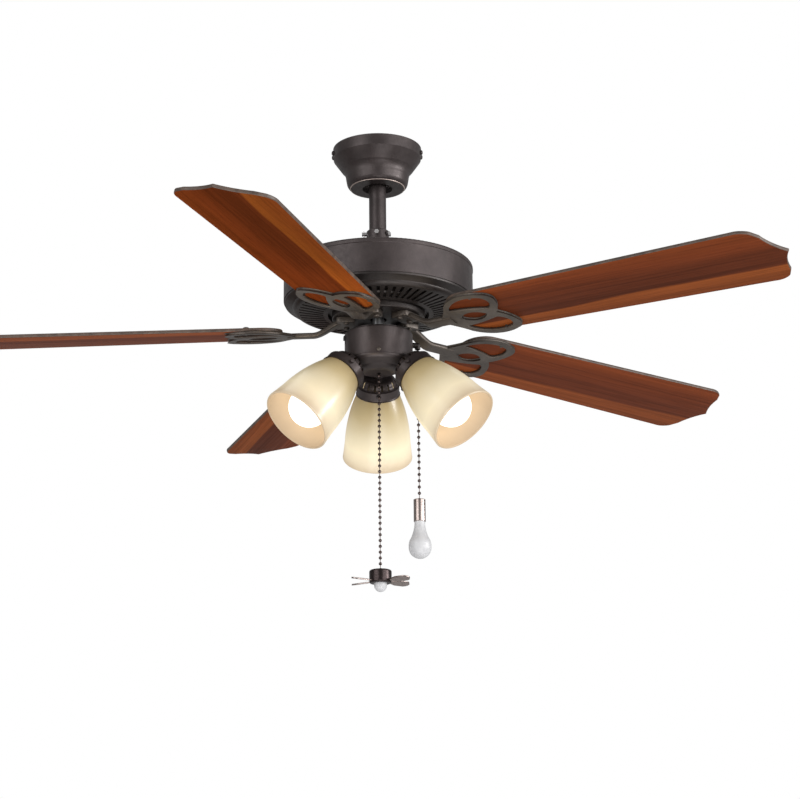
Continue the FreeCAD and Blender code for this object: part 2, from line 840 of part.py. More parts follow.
def make_blade_arm():
    arm = make_arm_neck().fuse(make_medallion()).removeSplitter()
    low = hub_face_z - arm_pad
    holes = [Part.makeCylinder(arm_screw_r, arm_pad, spot + Vector(0, 0, low)) for spot in arm_screw_spots()]
    return drilled(arm, holes)


def make_arm_screws():
    one = screw(arm_screw_head_r, arm_screw_head, arm_screw_r, arm_pad + arm_screw_bite)
    down = Placement(ORIGIN, Rotation(Vector(1, 0, 0), 180)).toMatrix()
    one = one.transformed(down, True)
    pair = []
    for spot in arm_screw_spots():
        place = Placement(spot + Vector(0, 0, hub_face_z - arm_pad), Rotation())
        pair.append(one.transformed(place.toMatrix(), True))
    return ring_of(Part.makeCompound(pair), blade_count, blade_angle)


def make_blade_screws():
    one = screw(blade_screw_head_r, blade_screw_head, blade_screw_r, blade_thickness + arm_plate)
    three = []
    for r, w in blade_screw_spots:
        place = Placement(Vector(r, w, blade_thickness), Rotation())
        three.append(one.transformed(place.toMatrix(), True))
    return ring_of(on_blade(Part.makeCompound(three)), blade_count, blade_angle)


# ========================================================= switch cup and bowl
def plate_screw_holes(r):
    low = cup_top_z - sheet
    return ring_of(Part.makeCylinder(r, sheet + plate_thickness, Vector(plate_screw_ring_r, 0, low)), 3, 30)


def make_adapter_plate():
    plate = disc(plate_r, cup_top_z, cup_top_z + plate_thickness)
    hub = disc(plate_hub_r, cup_top_z, cup_top_z + plate_hub_height)
    shape = plate.fuse(hub).removeSplitter().cut(disc(shaft_r, cup_top_z, cup_top_z + plate_hub_height))
    return drilled(shape, plate_screw_holes(small_screw_r))


def make_shaft_nut():
    low = cup_top_z - sheet - nut_height
    corners = [polar(nut_r, 60 * i, low) for i in range(7)]
    nut = Part.Face(Part.makePolygon(corners)).extrude(Vector(0, 0, nut_height))
    return nut.cut(disc(shaft_r, low, low + nut_height))


def cup_screw_z():
    return cup_top_z - cup_screw_drop


def cup_screw_holes(r):
    inner = polar(cup_r - 4, cup_screw_angle, cup_screw_z())
    outer = polar(cup_r + 1, cup_screw_angle, cup_screw_z())
    return ring_of(rod_between(inner, outer, r), 3)


def light_guide_z():
    return cup_top_z - guide_drop


def reverse_slot_top():
    return cup_top_z - reverse_slot_drop


def make_switch_cup():
    c = 2.0
    q = c * (1 - math.sqrt(0.5))
    outline = [
        line(at(shaft_r, cup_top_z), at(cup_r - c, cup_top_z)),
        arc(at(cup_r - c, cup_top_z), at(cup_r - q, cup_top_z - q), at(cup_r, cup_top_z - c)),
        line(at(cup_r, cup_top_z - c), at(cup_r, cup_bottom_z)),
    ]
    shell = turned_shell(outline, -sheet)
    slot_top = reverse_slot_top()
    half = reverse_slot_width / 2
    slot = block(cup_r - 6, cup_r + 1, -half, half, slot_top - reverse_slot_height, slot_top)
    slot = spun(slot, reverse_angle)
    guide_hole = rod_between(
        polar(cup_r - 6, light_chain_angle, light_guide_z()),
        polar(cup_r + 1, light_chain_angle, light_guide_z()),
        guide_r,
    )
    holes = [slot, guide_hole] + cup_screw_holes(small_screw_r) + plate_screw_holes(small_screw_r)
    return drilled(shell, holes)


def make_cup_screws():
    one = screw(small_screw_head_r, small_screw_head, small_screw_r, 3.8)
    side = aimed(one, polar(cup_r, cup_screw_angle, cup_screw_z()), polar(1, cup_screw_angle))
    top = screw(small_screw_head_r, small_screw_head, small_screw_r, sheet + plate_thickness)
    place = Placement(Vector(plate_screw_ring_r, 0, cup_top_z + plate_thickness), Rotation())
    return ring_of(side, 3) + ring_of(top.transformed(place.toMatrix(), True), 3, 30)


def lamp_stub_solid(r):
    start = lamp_point(0, -holder_band - holder_dome_height - lamp_stub_length)
    end = lamp_point(0, -holder_band - holder_dome_height)
    return rod_between(start, end, r)


def make_fitter_bowl():
    flange_r = cup_r - sheet
    flange_top = cup_bottom_z + bowl_flange_height
    outline = [
        line(at(flange_r, flange_top), at(flange_r, cup_bottom_z)),
        arc(
            at(flange_r, cup_bottom_z),
            at(flange_r - 0.6, cup_bottom_z - bowl_shoulder_drop / 2),
            at(bowl_shoulder_r, cup_bottom_z - bowl_shoulder_drop),
        ),
        line(
            at(bowl_shoulder_r, cup_bottom_z - bowl_shoulder_drop),
            at(bowl_ridge_r, cup_bottom_z - bowl_ridge_drop),
        ),
        arc(
            at(bowl_ridge_r, cup_bottom_z - bowl_ridge_drop),
            at((bowl_ridge_r + bowl_floor_r) / 2 + 1.5, bowl_bottom_z + 1.7),
            at(bowl_floor_r, bowl_bottom_z),
        ),
        line(at(bowl_floor_r, bowl_bottom_z), at(chain_bore_r, bowl_bottom_z)),
    ]
    shell = turned_shell(outline, -sheet)
    stubs = ring_of(lamp_stub_solid(lamp_stub_r), lamp_count)
    bores = ring_of(lamp_stub_solid(lamp_stub_r - 2), lamp_count)
    shape = shell.fuse(stubs).removeSplitter()
    return drilled(shape, bores + cup_screw_holes(small_screw_r))


def make_capacitor():
    x, y = capacitor_at
    dx, dy, dz = capacitor_size
    top = cup_top_z - sheet - nut_height - 3
    can = block(x - dx / 2, x + dx / 2, y - dy / 2, y + dy / 2, top - dz, top)
    return can.makeFillet(2, [e for e in can.Edges if abs(e.tangentAt(e.FirstParameter).z) > 0.9])


def flat_inside_cup(width):
    """How far out a flat face of this width can stand inside the cup's wall."""
    return math.sqrt((cup_r - sheet) ** 2 - (width / 2) ** 2) - loose_gap


def make_light_switch():
    dx, dy, dz = light_switch_size
    z = light_guide_z()
    outer = flat_inside_cup(dy)
    body = block(outer - dx, outer, -dy / 2, dy / 2, z - dz / 2 - 2, z + dz / 2 - 2)
    body = spun(body, light_chain_angle)
    bore = rod_between(polar(outer - 4, light_chain_angle, z), polar(outer, light_chain_angle, z), guide_r)
    return body.cut(bore)


def make_chain_guide():
    z = light_guide_z()
    bend = polar(light_chain_r, light_chain_angle, z)
    start = polar(flat_inside_cup(light_switch_size[1]) - 4, light_chain_angle, z)
    mouth = bend - Vector(0, 0, guide_mouth_drop)
    elbow = rod_between(start, bend, guide_r).fuse([
        rod_between(mouth, bend, guide_r),
        Part.makeSphere(guide_r, bend),
    ])
    bore = rod_between(mouth, bend, chain_bore_r).fuse([
        Part.makeSphere(chain_bore_r, bend),
        rod_between(start, bend, chain_bore_r - 0.8),
    ])
    return elbow.removeSplitter().cut(bore)


def make_fan_switch():
    low = bowl_bottom_z + sheet
    body = tube(fan_switch_r, chain_bore_r, low, low + fan_switch_height)
    cap = disc(fan_switch_r, low + fan_switch_height, low + fan_switch_height + 2)
    return body.fuse(cap).removeSplitter()


def make_reverse_switch():
    depth, width, height = reverse_body
    outer = flat_inside_cup(width)
    mid = reverse_slot_top() - reverse_slot_height / 2
    body = block(outer - depth, outer, -width / 2, width / 2, mid - height / 2, mid + height / 2)
    half = reverse_slot_width / 2
    low = mid - reverse_slot_height / 2
    track = block(outer - reverse_track, outer, -half, half, low, low + reverse_slot_height)
    return spun(body.cut(track), reverse_angle)


def make_reverse_slider():
    half = reverse_slot_width / 2 - joint_gap
    top = reverse_slot_top() - joint_gap
    inner = flat_inside_cup(reverse_body[1]) - reverse_track + joint_gap
    knob = block(inner, cup_r + slider_proud, -half, half, top - slider_height, top)
    outer = [e for e in knob.Edges if e.BoundBox.XMin > cup_r]
    edges = [e for e in outer if abs(e.tangentAt(e.FirstParameter).y) > 0.9]
    return spun(knob.makeFillet(0.8, edges), reverse_angle)


# ======================================================================= lamps
def lamp_place(index):
    """Frame of a lamp: origin at the centre of its rim, +Z back along its axis to the bowl."""
    angle = lamp_angle + 360.0 * index / lamp_count
    position = polar(lamp_rim_r, angle, bowl_bottom_z - lamp_rim_drop)
    return Placement(position, Rotation(UP, angle).multiply(Rotation(Vector(0, 1, 0), -lamp_tilt)))


def lamp_point(index, below_rim):
    return lamp_place(index).multVec(Vector(0, 0, -below_rim))


def on_lamp(shape, index):
    return shape.transformed(lamp_place(index).toMatrix(), True)


def thumb_axes(index):
    for i in range(3):
        yield polar(1, thumb_phases[index] + 120.0 * i)


def thumb_holes(index, r):
    rise = Vector(0, 0, thumb_at)
    return [rod_between(axis * (shade_neck_r + 0.2) + rise, axis * (holder_rim_r + 2) + rise, r)
            for axis in thumb_axes(index)]


def make_shade_holder(index):
    band = holder_band
    top = band + holder_dome_height
    outline = [
        line(at(cap_r - 5, top), at(holder_dome_r - 7, top)),
        arc(at(holder_dome_r - 7, top), at(holder_dome_r - 1.8, top - 2.2), at(holder_dome_r + 1, top - 7)),
        arc(at(holder_dome_r + 1, top - 7), at(holder_r - 3.2, band + 1.6), at(holder_r, band)),
        line(at(holder_r, band), at(holder_r, 3)),
        arc(at(holder_r, 3), at(holder_r + 0.4, 1.2), at(holder_rim_r, 0)),
    ]
    shell = turned_shell(outline, -holder_wall).common(disc(holder_rim_r + 1, 0, top + 1))
    half = holder_vent_width / 2
    vent = block(holder_dome_r - 5, holder_r - 2.2, -half, half, band + 1.5, top - 2.6)
    shell = drilled(shell, ring_of(vent, holder_vents, 11.25))
    return on_lamp(drilled(shell, thumb_holes(index, thumb_shank_r)), index)


def make_thumbscrews():
    screws = []
    rise = Vector(0, 0, thumb_at)
    for index in range(lamp_count):
        for axis in thumb_axes(index):
            glass = axis * (shade_neck_r + 0.2) + rise
            shank = rod_between(glass, axis * (holder_r + 1) + rise, thumb_shank_r)
            head = rod_between(axis * holder_r + rise, axis * (holder_r + thumb_length) + rise, thumb_r)
            head = head.makeChamfer(0.6, [e for e in head.Edges if e.Closed])
            head = head.cut(disc(holder_r, 0, holder_band))
            screws.append(on_lamp(shank.fuse(head).removeSplitter(), index))
    return screws


def shade_outline(inset):
    """Outer line of the glass from its neck to its mouth, moved inwards by inset."""
    neck = shade_neck_r - inset
    throat = shade_throat_r - inset
    return [
        line(at(neck, shade_neck_height), at(neck, 3)),
        arc(at(neck, 3), at(neck + 0.9, 0.9), at(throat, -0.4)),
        arc(
            at(throat, -0.4),
            at(shade_throat_r + 5.6 - inset, -shade_upper_at / 2),
            at(shade_upper_r - inset, -shade_upper_at),
        ),
        arc(
            at(shade_upper_r - inset, -shade_upper_at),
            at(shade_middle_r - inset, -(shade_upper_at + shade_lower_at) / 2),
            at(shade_lower_r - inset, -shade_lower_at),
        ),
        arc(
            at(shade_lower_r - inset, -shade_lower_at),
            at((shade_lower_r + shade_mouth_r) / 2 - inset, -(shade_lower_at + shade_length) / 2),
            at(shade_mouth_r - inset, -shade_length + shade_wall / 2),
        ),
    ]


def make_shade(index):
    outer = shade_outline(0)
    inner = shade_outline(shade_wall)
    lip_z = -shade_length + shade_wall / 2
    lip = arc(
        at(shade_mouth_r, lip_z),
        at(shade_mouth_r - shade_wall / 2, -shade_length),
        at(shade_mouth_r - shade_wall, lip_z),
    )
    top = line(at(shade_neck_r, shade_neck_height), at(shade_neck_r - shade_wall, shade_neck_height))
    glass = turned(Part.sortEdges(outer + [lip] + inner + [top])[0])
    return on_lamp(glass, index)


def make_lamp_sockets():
    sockets = []
    top = holder_band + holder_dome_height - holder_wall
    for index in range(lamp_count):
        body = disc(socket_r, -socket_bottom, top - 8).fuse(disc(holder_dome_r - 9, top - 8, top))
        well = disc(cap_r + 0.15, -socket_bottom, -socket_bottom + cap_length + 1)
        sockets.append(on_lamp(body.removeSplitter().cut(well), index))
    return sockets


def make_bulb(index):
    waist_r = (bulb_neck_r + bulb_r) / 2
    foot_z = -bulb_centre - bulb_r

    def on_globe(degrees):
        a = math.radians(degrees)
        return at(bulb_r * math.cos(a), -bulb_centre + bulb_r * math.sin(a))

    join = on_globe(38)
    glass = turned([
        line(at(0, -bulb_neck_at), at(bulb_neck_r, -bulb_neck_at)),
        arc(at(bulb_neck_r, -bulb_neck_at), at(waist_r - 3.2, -bulb_neck_at - 13), join),
        arc(join, on_globe(-26), at(0, foot_z)),
        line(at(0, foot_z), at(0, -bulb_neck_at)),
    ])
    return on_lamp(glass, index)


def make_bulb_caps():
    caps = []
    for index in range(lamp_count):
        cap = turned_polygon(
            (0, -bulb_neck_at), (cap_r, -bulb_neck_at), (cap_r, cap_length - bulb_neck_at - 5),
            (5, cap_length - bulb_neck_at - 1), (5, cap_length - bulb_neck_at),
            (0, cap_length - bulb_neck_at),
        )
        caps.append(on_lamp(cap, index))
    return caps


# ================================================================= pull chains
def fan_pendant_top_z():
    return bowl_bottom_z - fan_chain_drop


def make_fan_chain():
    return disc(chain_bead_r, fan_pendant_top_z(), bowl_bottom_z + chain_hidden)


def make_fan_pendant():
    top = fan_pendant_top_z()
    foot = top - fan_hub_height
    hub = turned_polygon(
        (0, top), (4, top), (4, top - 1), (fan_hub_r - fan_hub_bevel, top - 1),
        (fan_hub_r, top - 1 - fan_hub_bevel), (fan_hub_r, foot + fan_hub_bevel),
        (fan_hub_r - fan_hub_bevel, foot), (0, foot),
    )
    tip = paddle_reach
    upper = [
        line(flat(6, 0), flat(6, paddle_root_half)),
        line(flat(6, paddle_root_half), flat(fan_hub_r + 2, paddle_root_half)),
        line(flat(fan_hub_r + 2, paddle_root_half), flat(fan_hub_r + 12, paddle_half)),
        line(flat(fan_hub_r + 12, paddle_half), flat(tip - 4, paddle_half)),
        arc(flat(tip - 4, paddle_half), flat(tip - 1.2, paddle_half - 2.8), flat(tip, 0)),
    ]
    paddle = Part.Face(mirrored_outline(upper)).extrude(Vector(0, 0, paddle_thickness))
    pitch = Placement(Vector(0, 0, foot + paddle_rise), Rotation(Vector(1, 0, 0), -paddle_pitch))
    paddle = paddle.transformed(pitch.toMatrix(), True)
    return hub.fuse([spun(paddle, angle) for angle in paddle_angles]).removeSplitter()


def make_fan_pendant_tip():
    foot = fan_pendant_top_z() - fan_hub_height
    drop = fan_tip_drop
    return turned([
        line(at(0, foot), at(fan_tip_r, foot)),
        line(at(fan_tip_r, foot), at(fan_tip_r, foot - 3)),
        arc(at(fan_tip_r, foot - 3), at(fan_tip_r * 0.66, foot - drop + 2.4), at(POLE, foot - drop)),
        line(at(POLE, foot - drop), at(0, foot - drop)),
        line(at(0, foot - drop), at(0, foot)),
    ])


def hung_on_light_chain(shape):
    shape.translate(polar(light_chain_r, light_chain_angle))
    return shape


def guide_mouth_z():
    return light_guide_z() - guide_mouth_drop


def light_pendant_top_z():
    return guide_mouth_z() - light_chain_drop


def make_light_chain():
    return hung_on_light_chain(disc(chain_bead_r, light_pendant_top_z(), light_guide_z()))


def make_light_pendant_sleeve():
    top = light_pendant_top_z()
    low = top - sleeve_height
    sleeve = disc(sleeve_r, low, top)
    sleeve = sleeve.makeChamfer(0.7, [e for e in sleeve.Edges if e.Closed])
    return hung_on_light_chain(sleeve)


def make_light_pendant_bulb():
    top = light_pendant_top_z() - sleeve_height
    wide = top - lamp_pendant_widest
    low = top - lamp_pendant_length
    r = lamp_pendant_r
    return hung_on_light_chain(turned([
        line(at(0, top), at(lamp_pendant_neck_r, top)),
        arc(at(lamp_pendant_neck_r, top), at(lamp_pendant_neck_r + 1.6, top - 13), at(r * 0.8, top - 24)),
        arc(at(r * 0.8, top - 24), at(r * 0.965, top - 30), at(r, wide)),
        arc(at(r, wide), at(r * 0.72, low + 4.9), at(POLE, low)),
        line(at(POLE, low), at(0, low)),
        line(at(0, low), at(0, top)),
    ]))


# ======================================================================= build
def main():
    os.makedirs("parts", exist_ok=True)
    export("hanger_bracket", make_hanger_bracket())
    export("canopy", make_canopy())
    export("canopy_screws", *make_canopy_screws())
    export("hanger_ball", make_hanger_ball())
    export("downrod", make_downrod())
    export("rod_pins", *make_rod_pins())
    export("lead_wires", *make_lead_wires())
    export("motor_collar", make_motor_collar())
    export("set_screws", *make_set_screws())
    export("housing_top", make_housing_top())
    export("housing_base", make_housing_base())
    export("housing_screws", *make_housing_screws())
    export("motor_shaft", make_motor_shaft())
    export("bearings", *make_bearings())
    export("stator_core", make_stator_core())
    export("stator_windings", make_stator_windings())
    export("rotor_cage", make_rotor_cage())
    export("rotor_top", make_rotor_top())
    export("rotor_bottom", make_rotor_bottom())
    blade = make_blade()
    arm = make_blade_arm()
    for i in range(blade_count):
        angle = blade_angle + 360.0 * i / blade_count
        export("blade_%d" % (i + 1), spun(blade, angle))
        export("blade_arm_%d" % (i + 1), spun(arm, angle))
    export("arm_screws", *make_arm_screws())
    export("blade_screws", *make_blade_screws())
    export("adapter_plate", make_adapter_plate())
    export("shaft_nut", make_shaft_nut())
    export("switch_cup", make_switch_cup())
    export("cup_screws", *make_cup_screws())
    export("capacitor", make_capacitor())
    export("light_switch", make_light_switch())
    export("chain_guide", make_chain_guide())
    export("fan_switch", make_fan_switch())
    export("reverse_switch", make_reverse_switch())
    export("reverse_slider", make_reverse_slider())
    export("fitter_bowl", make_fitter_bowl())
    for i in range(lamp_count):
        export("shade_holder_%d" % (i + 1), make_shade_holder(i))
        export("shade_%d" % (i + 1), make_shade(i))
        export("bulb_%d" % (i + 1), make_bulb(i))
    export("thumbscrews", *make_thumbscrews())
    export("lamp_sockets", *make_lamp_sockets())
    export("bulb_caps", *make_bulb_caps())
    export("fan_chain", make_fan_chain())
    export("fan_pendant", make_fan_pendant())
    export("fan_pendant_tip", make_fan_pendant_tip())
    export("light_chain", make_light_chain())
    export("light_pendant_sleeve", make_light_pendant_sleeve())
    export("light_pendant_bulb", make_light_pendant_bulb())


main()
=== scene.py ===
import math

import bmesh
import bpy
from mathutils import Matrix, Vector


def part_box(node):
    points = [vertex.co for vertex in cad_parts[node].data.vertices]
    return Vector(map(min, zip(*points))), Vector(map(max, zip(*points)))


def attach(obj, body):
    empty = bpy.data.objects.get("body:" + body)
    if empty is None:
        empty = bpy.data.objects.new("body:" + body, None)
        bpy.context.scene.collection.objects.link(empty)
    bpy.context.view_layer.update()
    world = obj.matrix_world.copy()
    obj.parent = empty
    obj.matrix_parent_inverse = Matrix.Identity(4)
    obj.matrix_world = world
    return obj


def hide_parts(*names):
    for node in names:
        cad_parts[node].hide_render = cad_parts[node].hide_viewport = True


# A five-blade ceiling fan with three lit shades, seen from below and in front.
# Metres, +Z up, with the origin in the plane of the ceiling on the fan's axis.
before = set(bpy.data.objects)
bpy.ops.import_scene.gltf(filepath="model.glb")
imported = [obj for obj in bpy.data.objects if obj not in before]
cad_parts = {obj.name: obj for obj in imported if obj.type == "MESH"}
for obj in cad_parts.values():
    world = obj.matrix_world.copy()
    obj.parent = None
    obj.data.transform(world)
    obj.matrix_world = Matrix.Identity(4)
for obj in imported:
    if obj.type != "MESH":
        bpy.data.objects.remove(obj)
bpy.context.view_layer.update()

MM = 0.001
AXIS = 1e-7               # a profile point nearer the axis than this is a pole
SEGMENTS = 96             # round a turned piece

# --------------------------------------------------------------------- sizes
CAMERA_PLACE = Vector((0, -3.2612, -1.3384))
CAMERA_RISE = 16.40       # degrees above the horizon
CAMERA_ROLL = -0.447
CAMERA_SENSOR = 36
CAMERA_LENS = 105.15
CAMERA_SHIFT = (0.0262, -0.00915)

BLADES = 5
FIRST_BLADE = 36.4        # degrees
BLADE_PITCH = 10.6
BLADE_DROOP = 1.5
BLADE_HEIGHT = -287.2     # underside of the blades on the axis, mm
BLADE_THICKNESS = 5.0
BLADE_EDGE = 1.3          # rounding of the blade's edges
GRAIN_STEP = 1.7          # along the grain from one blade's veneer to the next one's
ARM_PLATE = 4.5
ARM_ROUNDING = 1.5
HUB_FACE = -268.3         # height of the face that the arms are screwed to

LAMPS = 3
FIRST_LAMP = 91.25
LAMP_TILT = 42.5
LAMP_RIM_RADIUS = 65.3
LAMP_RIM_HEIGHT = -361.3
SHADE_DEPTH = 107.8
SHADE_WALL = 3.2
THUMBS = 3                # thumbscrews of each lamp
THUMB_PHASES = (60.0, 77.0, 43.0)
THUMB_SEAT = (31.6, 9.0)  # radius and height on the lamp's axis

CHAIN_BEAD = 2.4          # radius of a bead
CHAIN_WIRE = 0.55         # radius of the wire between beads
FAN_CHAIN_PITCH = 8.4
LIGHT_CHAIN_PITCH = 9.2


# ================================================================== materials
SOCKETS = {
    "color": "Base Color", "metal": "Metallic", "rough": "Roughness", "coat": "Coat Weight",
    "coat_rough": "Coat Roughness", "through": "Transmission Weight", "glow": "Emission Strength",
    "glow_color": "Emission Color", "normal": "Normal", "specular": "Specular IOR Level",
}


class Finish:
    """A material being made: its nodes, with short calls for the ones that it uses."""

    def __init__(self, name, **values):
        self.material = bpy.data.materials.new(name)
        self.material.use_nodes = True
        self.nodes = self.material.node_tree.nodes
        self.shader = self.nodes["Principled BSDF"]
        self.set(**values)

    def set(self, **values):
        for key, value in values.items():
            self.join(self.shader.inputs[SOCKETS[key]], value)

    def join(self, socket, value):
        if isinstance(value, bpy.types.NodeSocket):
            self.material.node_tree.links.new(value, socket)
        elif socket.type == "RGBA" and len(value) == 3:
            socket.default_value = (*value, 1.0)
        else:
            socket.default_value = value

    def node(self, kind, inputs=(), **settings):
        made = self.nodes.new("ShaderNode" + kind)
        for key, value in settings.items():
            setattr(made, key, value)
        for key, value in dict(inputs).items():
            self.join(made.inputs[key], value)
        return made

    def place(self, scale=(1, 1, 1), uv=False):
        """Object or UV coordinates, stretched."""
        source = self.node("UVMap").outputs["UV"] if uv else self.node("TexCoord").outputs["Object"]
        return self.node("Mapping", {"Vector": source, "Scale": scale}).outputs["Vector"]

    def noise(self, scale, stretch=(1, 1, 1), detail=4.0, rough=0.55, uv=False, distortion=0.0):
        return self.node("TexNoise", {
            "Vector": self.place(stretch, uv), "Scale": scale, "Detail": detail,
            "Roughness": rough, "Distortion": distortion,
        }).outputs["Fac"]

    def ramp(self, factor, *stops):
        made = self.node("ValToRGB", {"Fac": factor})
        band = made.color_ramp
        while len(band.elements) < len(stops):
            band.elements.new(0.5)
        for element, (at, color) in zip(band.elements, stops):
            element.position = at
            element.color = (*color, 1.0) if isinstance(color, tuple) else (color, color, color, 1.0)
        return made.outputs["Color"]

    def mix(self, factor, a, b, blend="MIX"):
        made = self.node("Mix", data_type="RGBA", blend_type=blend)
        for index, value in ((0, factor), (6, a), (7, b)):
            self.join(made.inputs[index], value)
        return made.outputs[2]

    def math(self, operation, *terms):
        return self.node("Math", dict(enumerate(terms)), operation=operation).outputs[0]

    def bump(self, height, distance, strength=1.0):
        made = self.node("Bump", {"Height": height, "Distance": distance, "Strength": strength})
        self.set(normal=made.outputs["Normal"])


def bronze_paint(name, dark, light, rough):
    """Oil-rubbed bronze: a mottled dark coat with a fine orange-peel surface."""
    f = Finish(name, metal=0.55, coat=0.03, coat_rough=0.4)
    mottle = f.noise(28.0, detail=6.0, rough=0.6)
    f.set(color=f.ramp(mottle, (0.32, dark), (0.7, light)))
    f.set(rough=f.ramp(f.noise(160.0), (0.3, rough - 0.06), (0.75, rough + 0.07)))
    f.bump(f.noise(1400.0, detail=2.0), 0.00006, 0.5)
    return f.material


def veneer(name, dark, band, sheen):
    """Reddish-brown veneer whose grain runs along the blade; the sharp lighter band by its lower edge is
    painted light.
    """
    f = Finish(name, coat=sheen, coat_rough=0.4, specular=sheen * 3)
    sway = f.noise(1.0, (2.2, 6.0, 1.0), detail=2.0, uv=True)
    across = f.node("SeparateXYZ", {"Vector": f.node("UVMap").outputs["UV"]}).outputs["Y"]
    swayed = f.math("ADD", across, f.math("MULTIPLY", f.math("SUBTRACT", sway, 0.5), 0.030))
    share = f.math("MULTIPLY_ADD", swayed, 7.0, 0.5)
    # painted light: the sharp step up to the band tone near the lower edge stands for a lit strip; the
    # lighter outer edges are the veneer's own tone
    tone = f.ramp(
        share, (0.0, (0.19, 0.041, 0.009)), (0.25, (0.135, 0.028, 0.007)), (0.5, dark),
        (0.69, dark), (0.715, band), (1.0, (0.17, 0.039, 0.009)),
    )
    fibre = f.noise(1.0, (5.0, 240.0, 1.0), detail=7.0, rough=0.62, uv=True, distortion=0.15)
    fibres = f.ramp(fibre, (0.30, 0.72), (0.5, 1.0), (0.72, 1.16))
    streak = f.noise(1.0, (1.6, 46.0, 1.0), detail=3.0, rough=0.5, uv=True, distortion=0.4)
    streaks = f.ramp(streak, (0.34, 0.80), (0.52, 1.0), (0.68, 1.10))
    grain = f.mix(1.0, f.mix(1.0, tone, fibres, "MULTIPLY"), streaks, "MULTIPLY")
    pore = f.noise(1.0, (26.0, 900.0, 1.0), detail=2.0, uv=True)
    pores = f.ramp(pore, (0.30, 0.55), (0.42, 1.0))
    f.set(color=f.mix(0.6, grain, f.mix(1.0, grain, pores, "MULTIPLY")))
    f.set(rough=f.ramp(fibre, (0.3, 0.62), (0.7, 0.5)))
    f.bump(fibre, 0.00008, 0.35)
    return f.material


def frosted_shade(name, glow):
    """Cream glass with its light painted on: an emission ramp, brightest round the bulb, stands for the
    bulb's light through the glass, and the browner tone at the neck is painted shade.
    """
    f = Finish(name, rough=0.34, coat=0.25, coat_rough=0.14)
    along = f.node("SeparateXYZ", {"Vector": f.node("UVMap").outputs["UV"]}).outputs["Y"]
    cloud = f.noise(14.0, detail=3.0)
    drift = f.math("MULTIPLY", f.math("SUBTRACT", cloud, 0.5), 0.22)
    reach = f.math("ADD", along, drift)
    tone = f.ramp(
        reach, (0.0, (0.28, 0.215, 0.115)), (0.2, (0.33, 0.27, 0.16)), (0.55, (0.34, 0.295, 0.21)),
        (0.8, (0.36, 0.305, 0.225)), (1.0, (0.31, 0.25, 0.175)),
    )
    # painted light: the glow that the bulb gives the glass, strongest round it and fading to neck and
    # mouth
    lit = f.ramp(
        reach, (0.0, (0.09, 0.066, 0.026)), (0.22, (0.18, 0.138, 0.066)), (0.5, (0.36, 0.31, 0.205)),
        (0.72, (0.50, 0.44, 0.30)), (0.88, (0.42, 0.36, 0.25)), (1.0, (0.28, 0.22, 0.145)),
    )
    f.set(color=tone, glow_color=lit, glow=glow)
    f.bump(f.noise(700.0, detail=2.0), 0.00005, 0.35)
    return f.material


def inner_glass_painted_glow():
    """The same glass seen from inside with its light painted on: a peach glow from the bulb, fading
    browner towards its mouth as painted shade.
    """
    f = Finish("inner_glass_painted_glow", rough=0.45)
    along = f.node("SeparateXYZ", {"Vector": f.node("UVMap").outputs["UV"]}).outputs["Y"]
    drift = f.math("MULTIPLY", f.math("SUBTRACT", f.noise(22.0, detail=3.0), 0.5), 0.2)
    reach = f.math("ADD", along, drift)
    tone = f.ramp(
        reach, (0.0, (0.30, 0.25, 0.17)), (0.7, (0.33, 0.25, 0.165)), (1.0, (0.27, 0.20, 0.13)),
    )
    lit = f.ramp(
        reach, (0.0, (0.40, 0.32, 0.2)), (0.7, (0.38, 0.28, 0.17)), (1.0, (0.26, 0.19, 0.115)),
    )
    f.set(color=tone, glow_color=lit, glow=1.0)
    f.bump(f.noise(500.0, detail=2.0), 0.00004, 0.3)
    return f.material


def lit_bulb():
    """White glass that glows."""
    f = Finish("lit_bulb", rough=0.35)
    f.set(color=f.ramp(f.noise(60.0), (0.4, (0.9, 0.89, 0.86)), (0.7, (0.96, 0.95, 0.93))))
    f.set(glow_color=(1.0, 0.985, 0.95), glow=1.1)
    return f.material


def frosted_white(name, glow):
    """White glass with a faint painted glow, though no lamp is in it, and a ground surface."""
    f = Finish(name, rough=0.4, coat=0.2, coat_rough=0.3, through=0.15)
    cloud = f.noise(90.0, detail=3.0)
    f.set(color=f.ramp(cloud, (0.35, (0.44, 0.44, 0.45)), (0.7, (0.52, 0.52, 0.53))))
    f.set(glow_color=(0.93, 0.93, 0.94), glow=glow)
    f.bump(f.noise(2600.0, detail=1.0), 0.00003, 0.4)
    return f.material


def metal(name, dark, light, rough, grain=(1, 1, 1), scale=300.0):
    """Bare or plated metal with a fine direction to its surface."""
    f = Finish(name, metal=1.0)
    lines = f.noise(scale, grain, detail=3.0)
    f.set(color=f.ramp(lines, (0.3, dark), (0.7, light)))
    f.set(rough=f.ramp(lines, (0.3, rough + 0.05), (0.7, rough - 0.03)))
    f.bump(lines, 0.00002, 0.4)
    return f.material


def moulded(name, dark, light, rough):
    """Plastic or rubber with a faint mould texture."""
    f = Finish(name)
    f.set(color=f.ramp(f.noise(90.0), (0.35, dark), (0.65, light)))
    f.set(rough=f.ramp(f.noise(400.0), (0.3, rough - 0.08), (0.7, rough + 0.06)))
    f.bump(f.noise(1800.0, detail=1.0), 0.00005, 0.4)
    return f.material


bronze = bronze_paint("dark_bronze", (0.034, 0.026, 0.0255), (0.060, 0.047, 0.046), 0.42)
# a darker copy of the same bronze: painted shade for the plate in the gap above the cup, the vented base,
# the rotor inside it and the chain guide
bronze_painted_shade = bronze_paint("bronze_with_painted_shade", (0.018, 0.014, 0.013), (0.036, 0.029, 0.027), 0.42)
bronze_grey = bronze_paint("grey_bronze", (0.050, 0.040, 0.034), (0.105, 0.087, 0.073), 0.42)
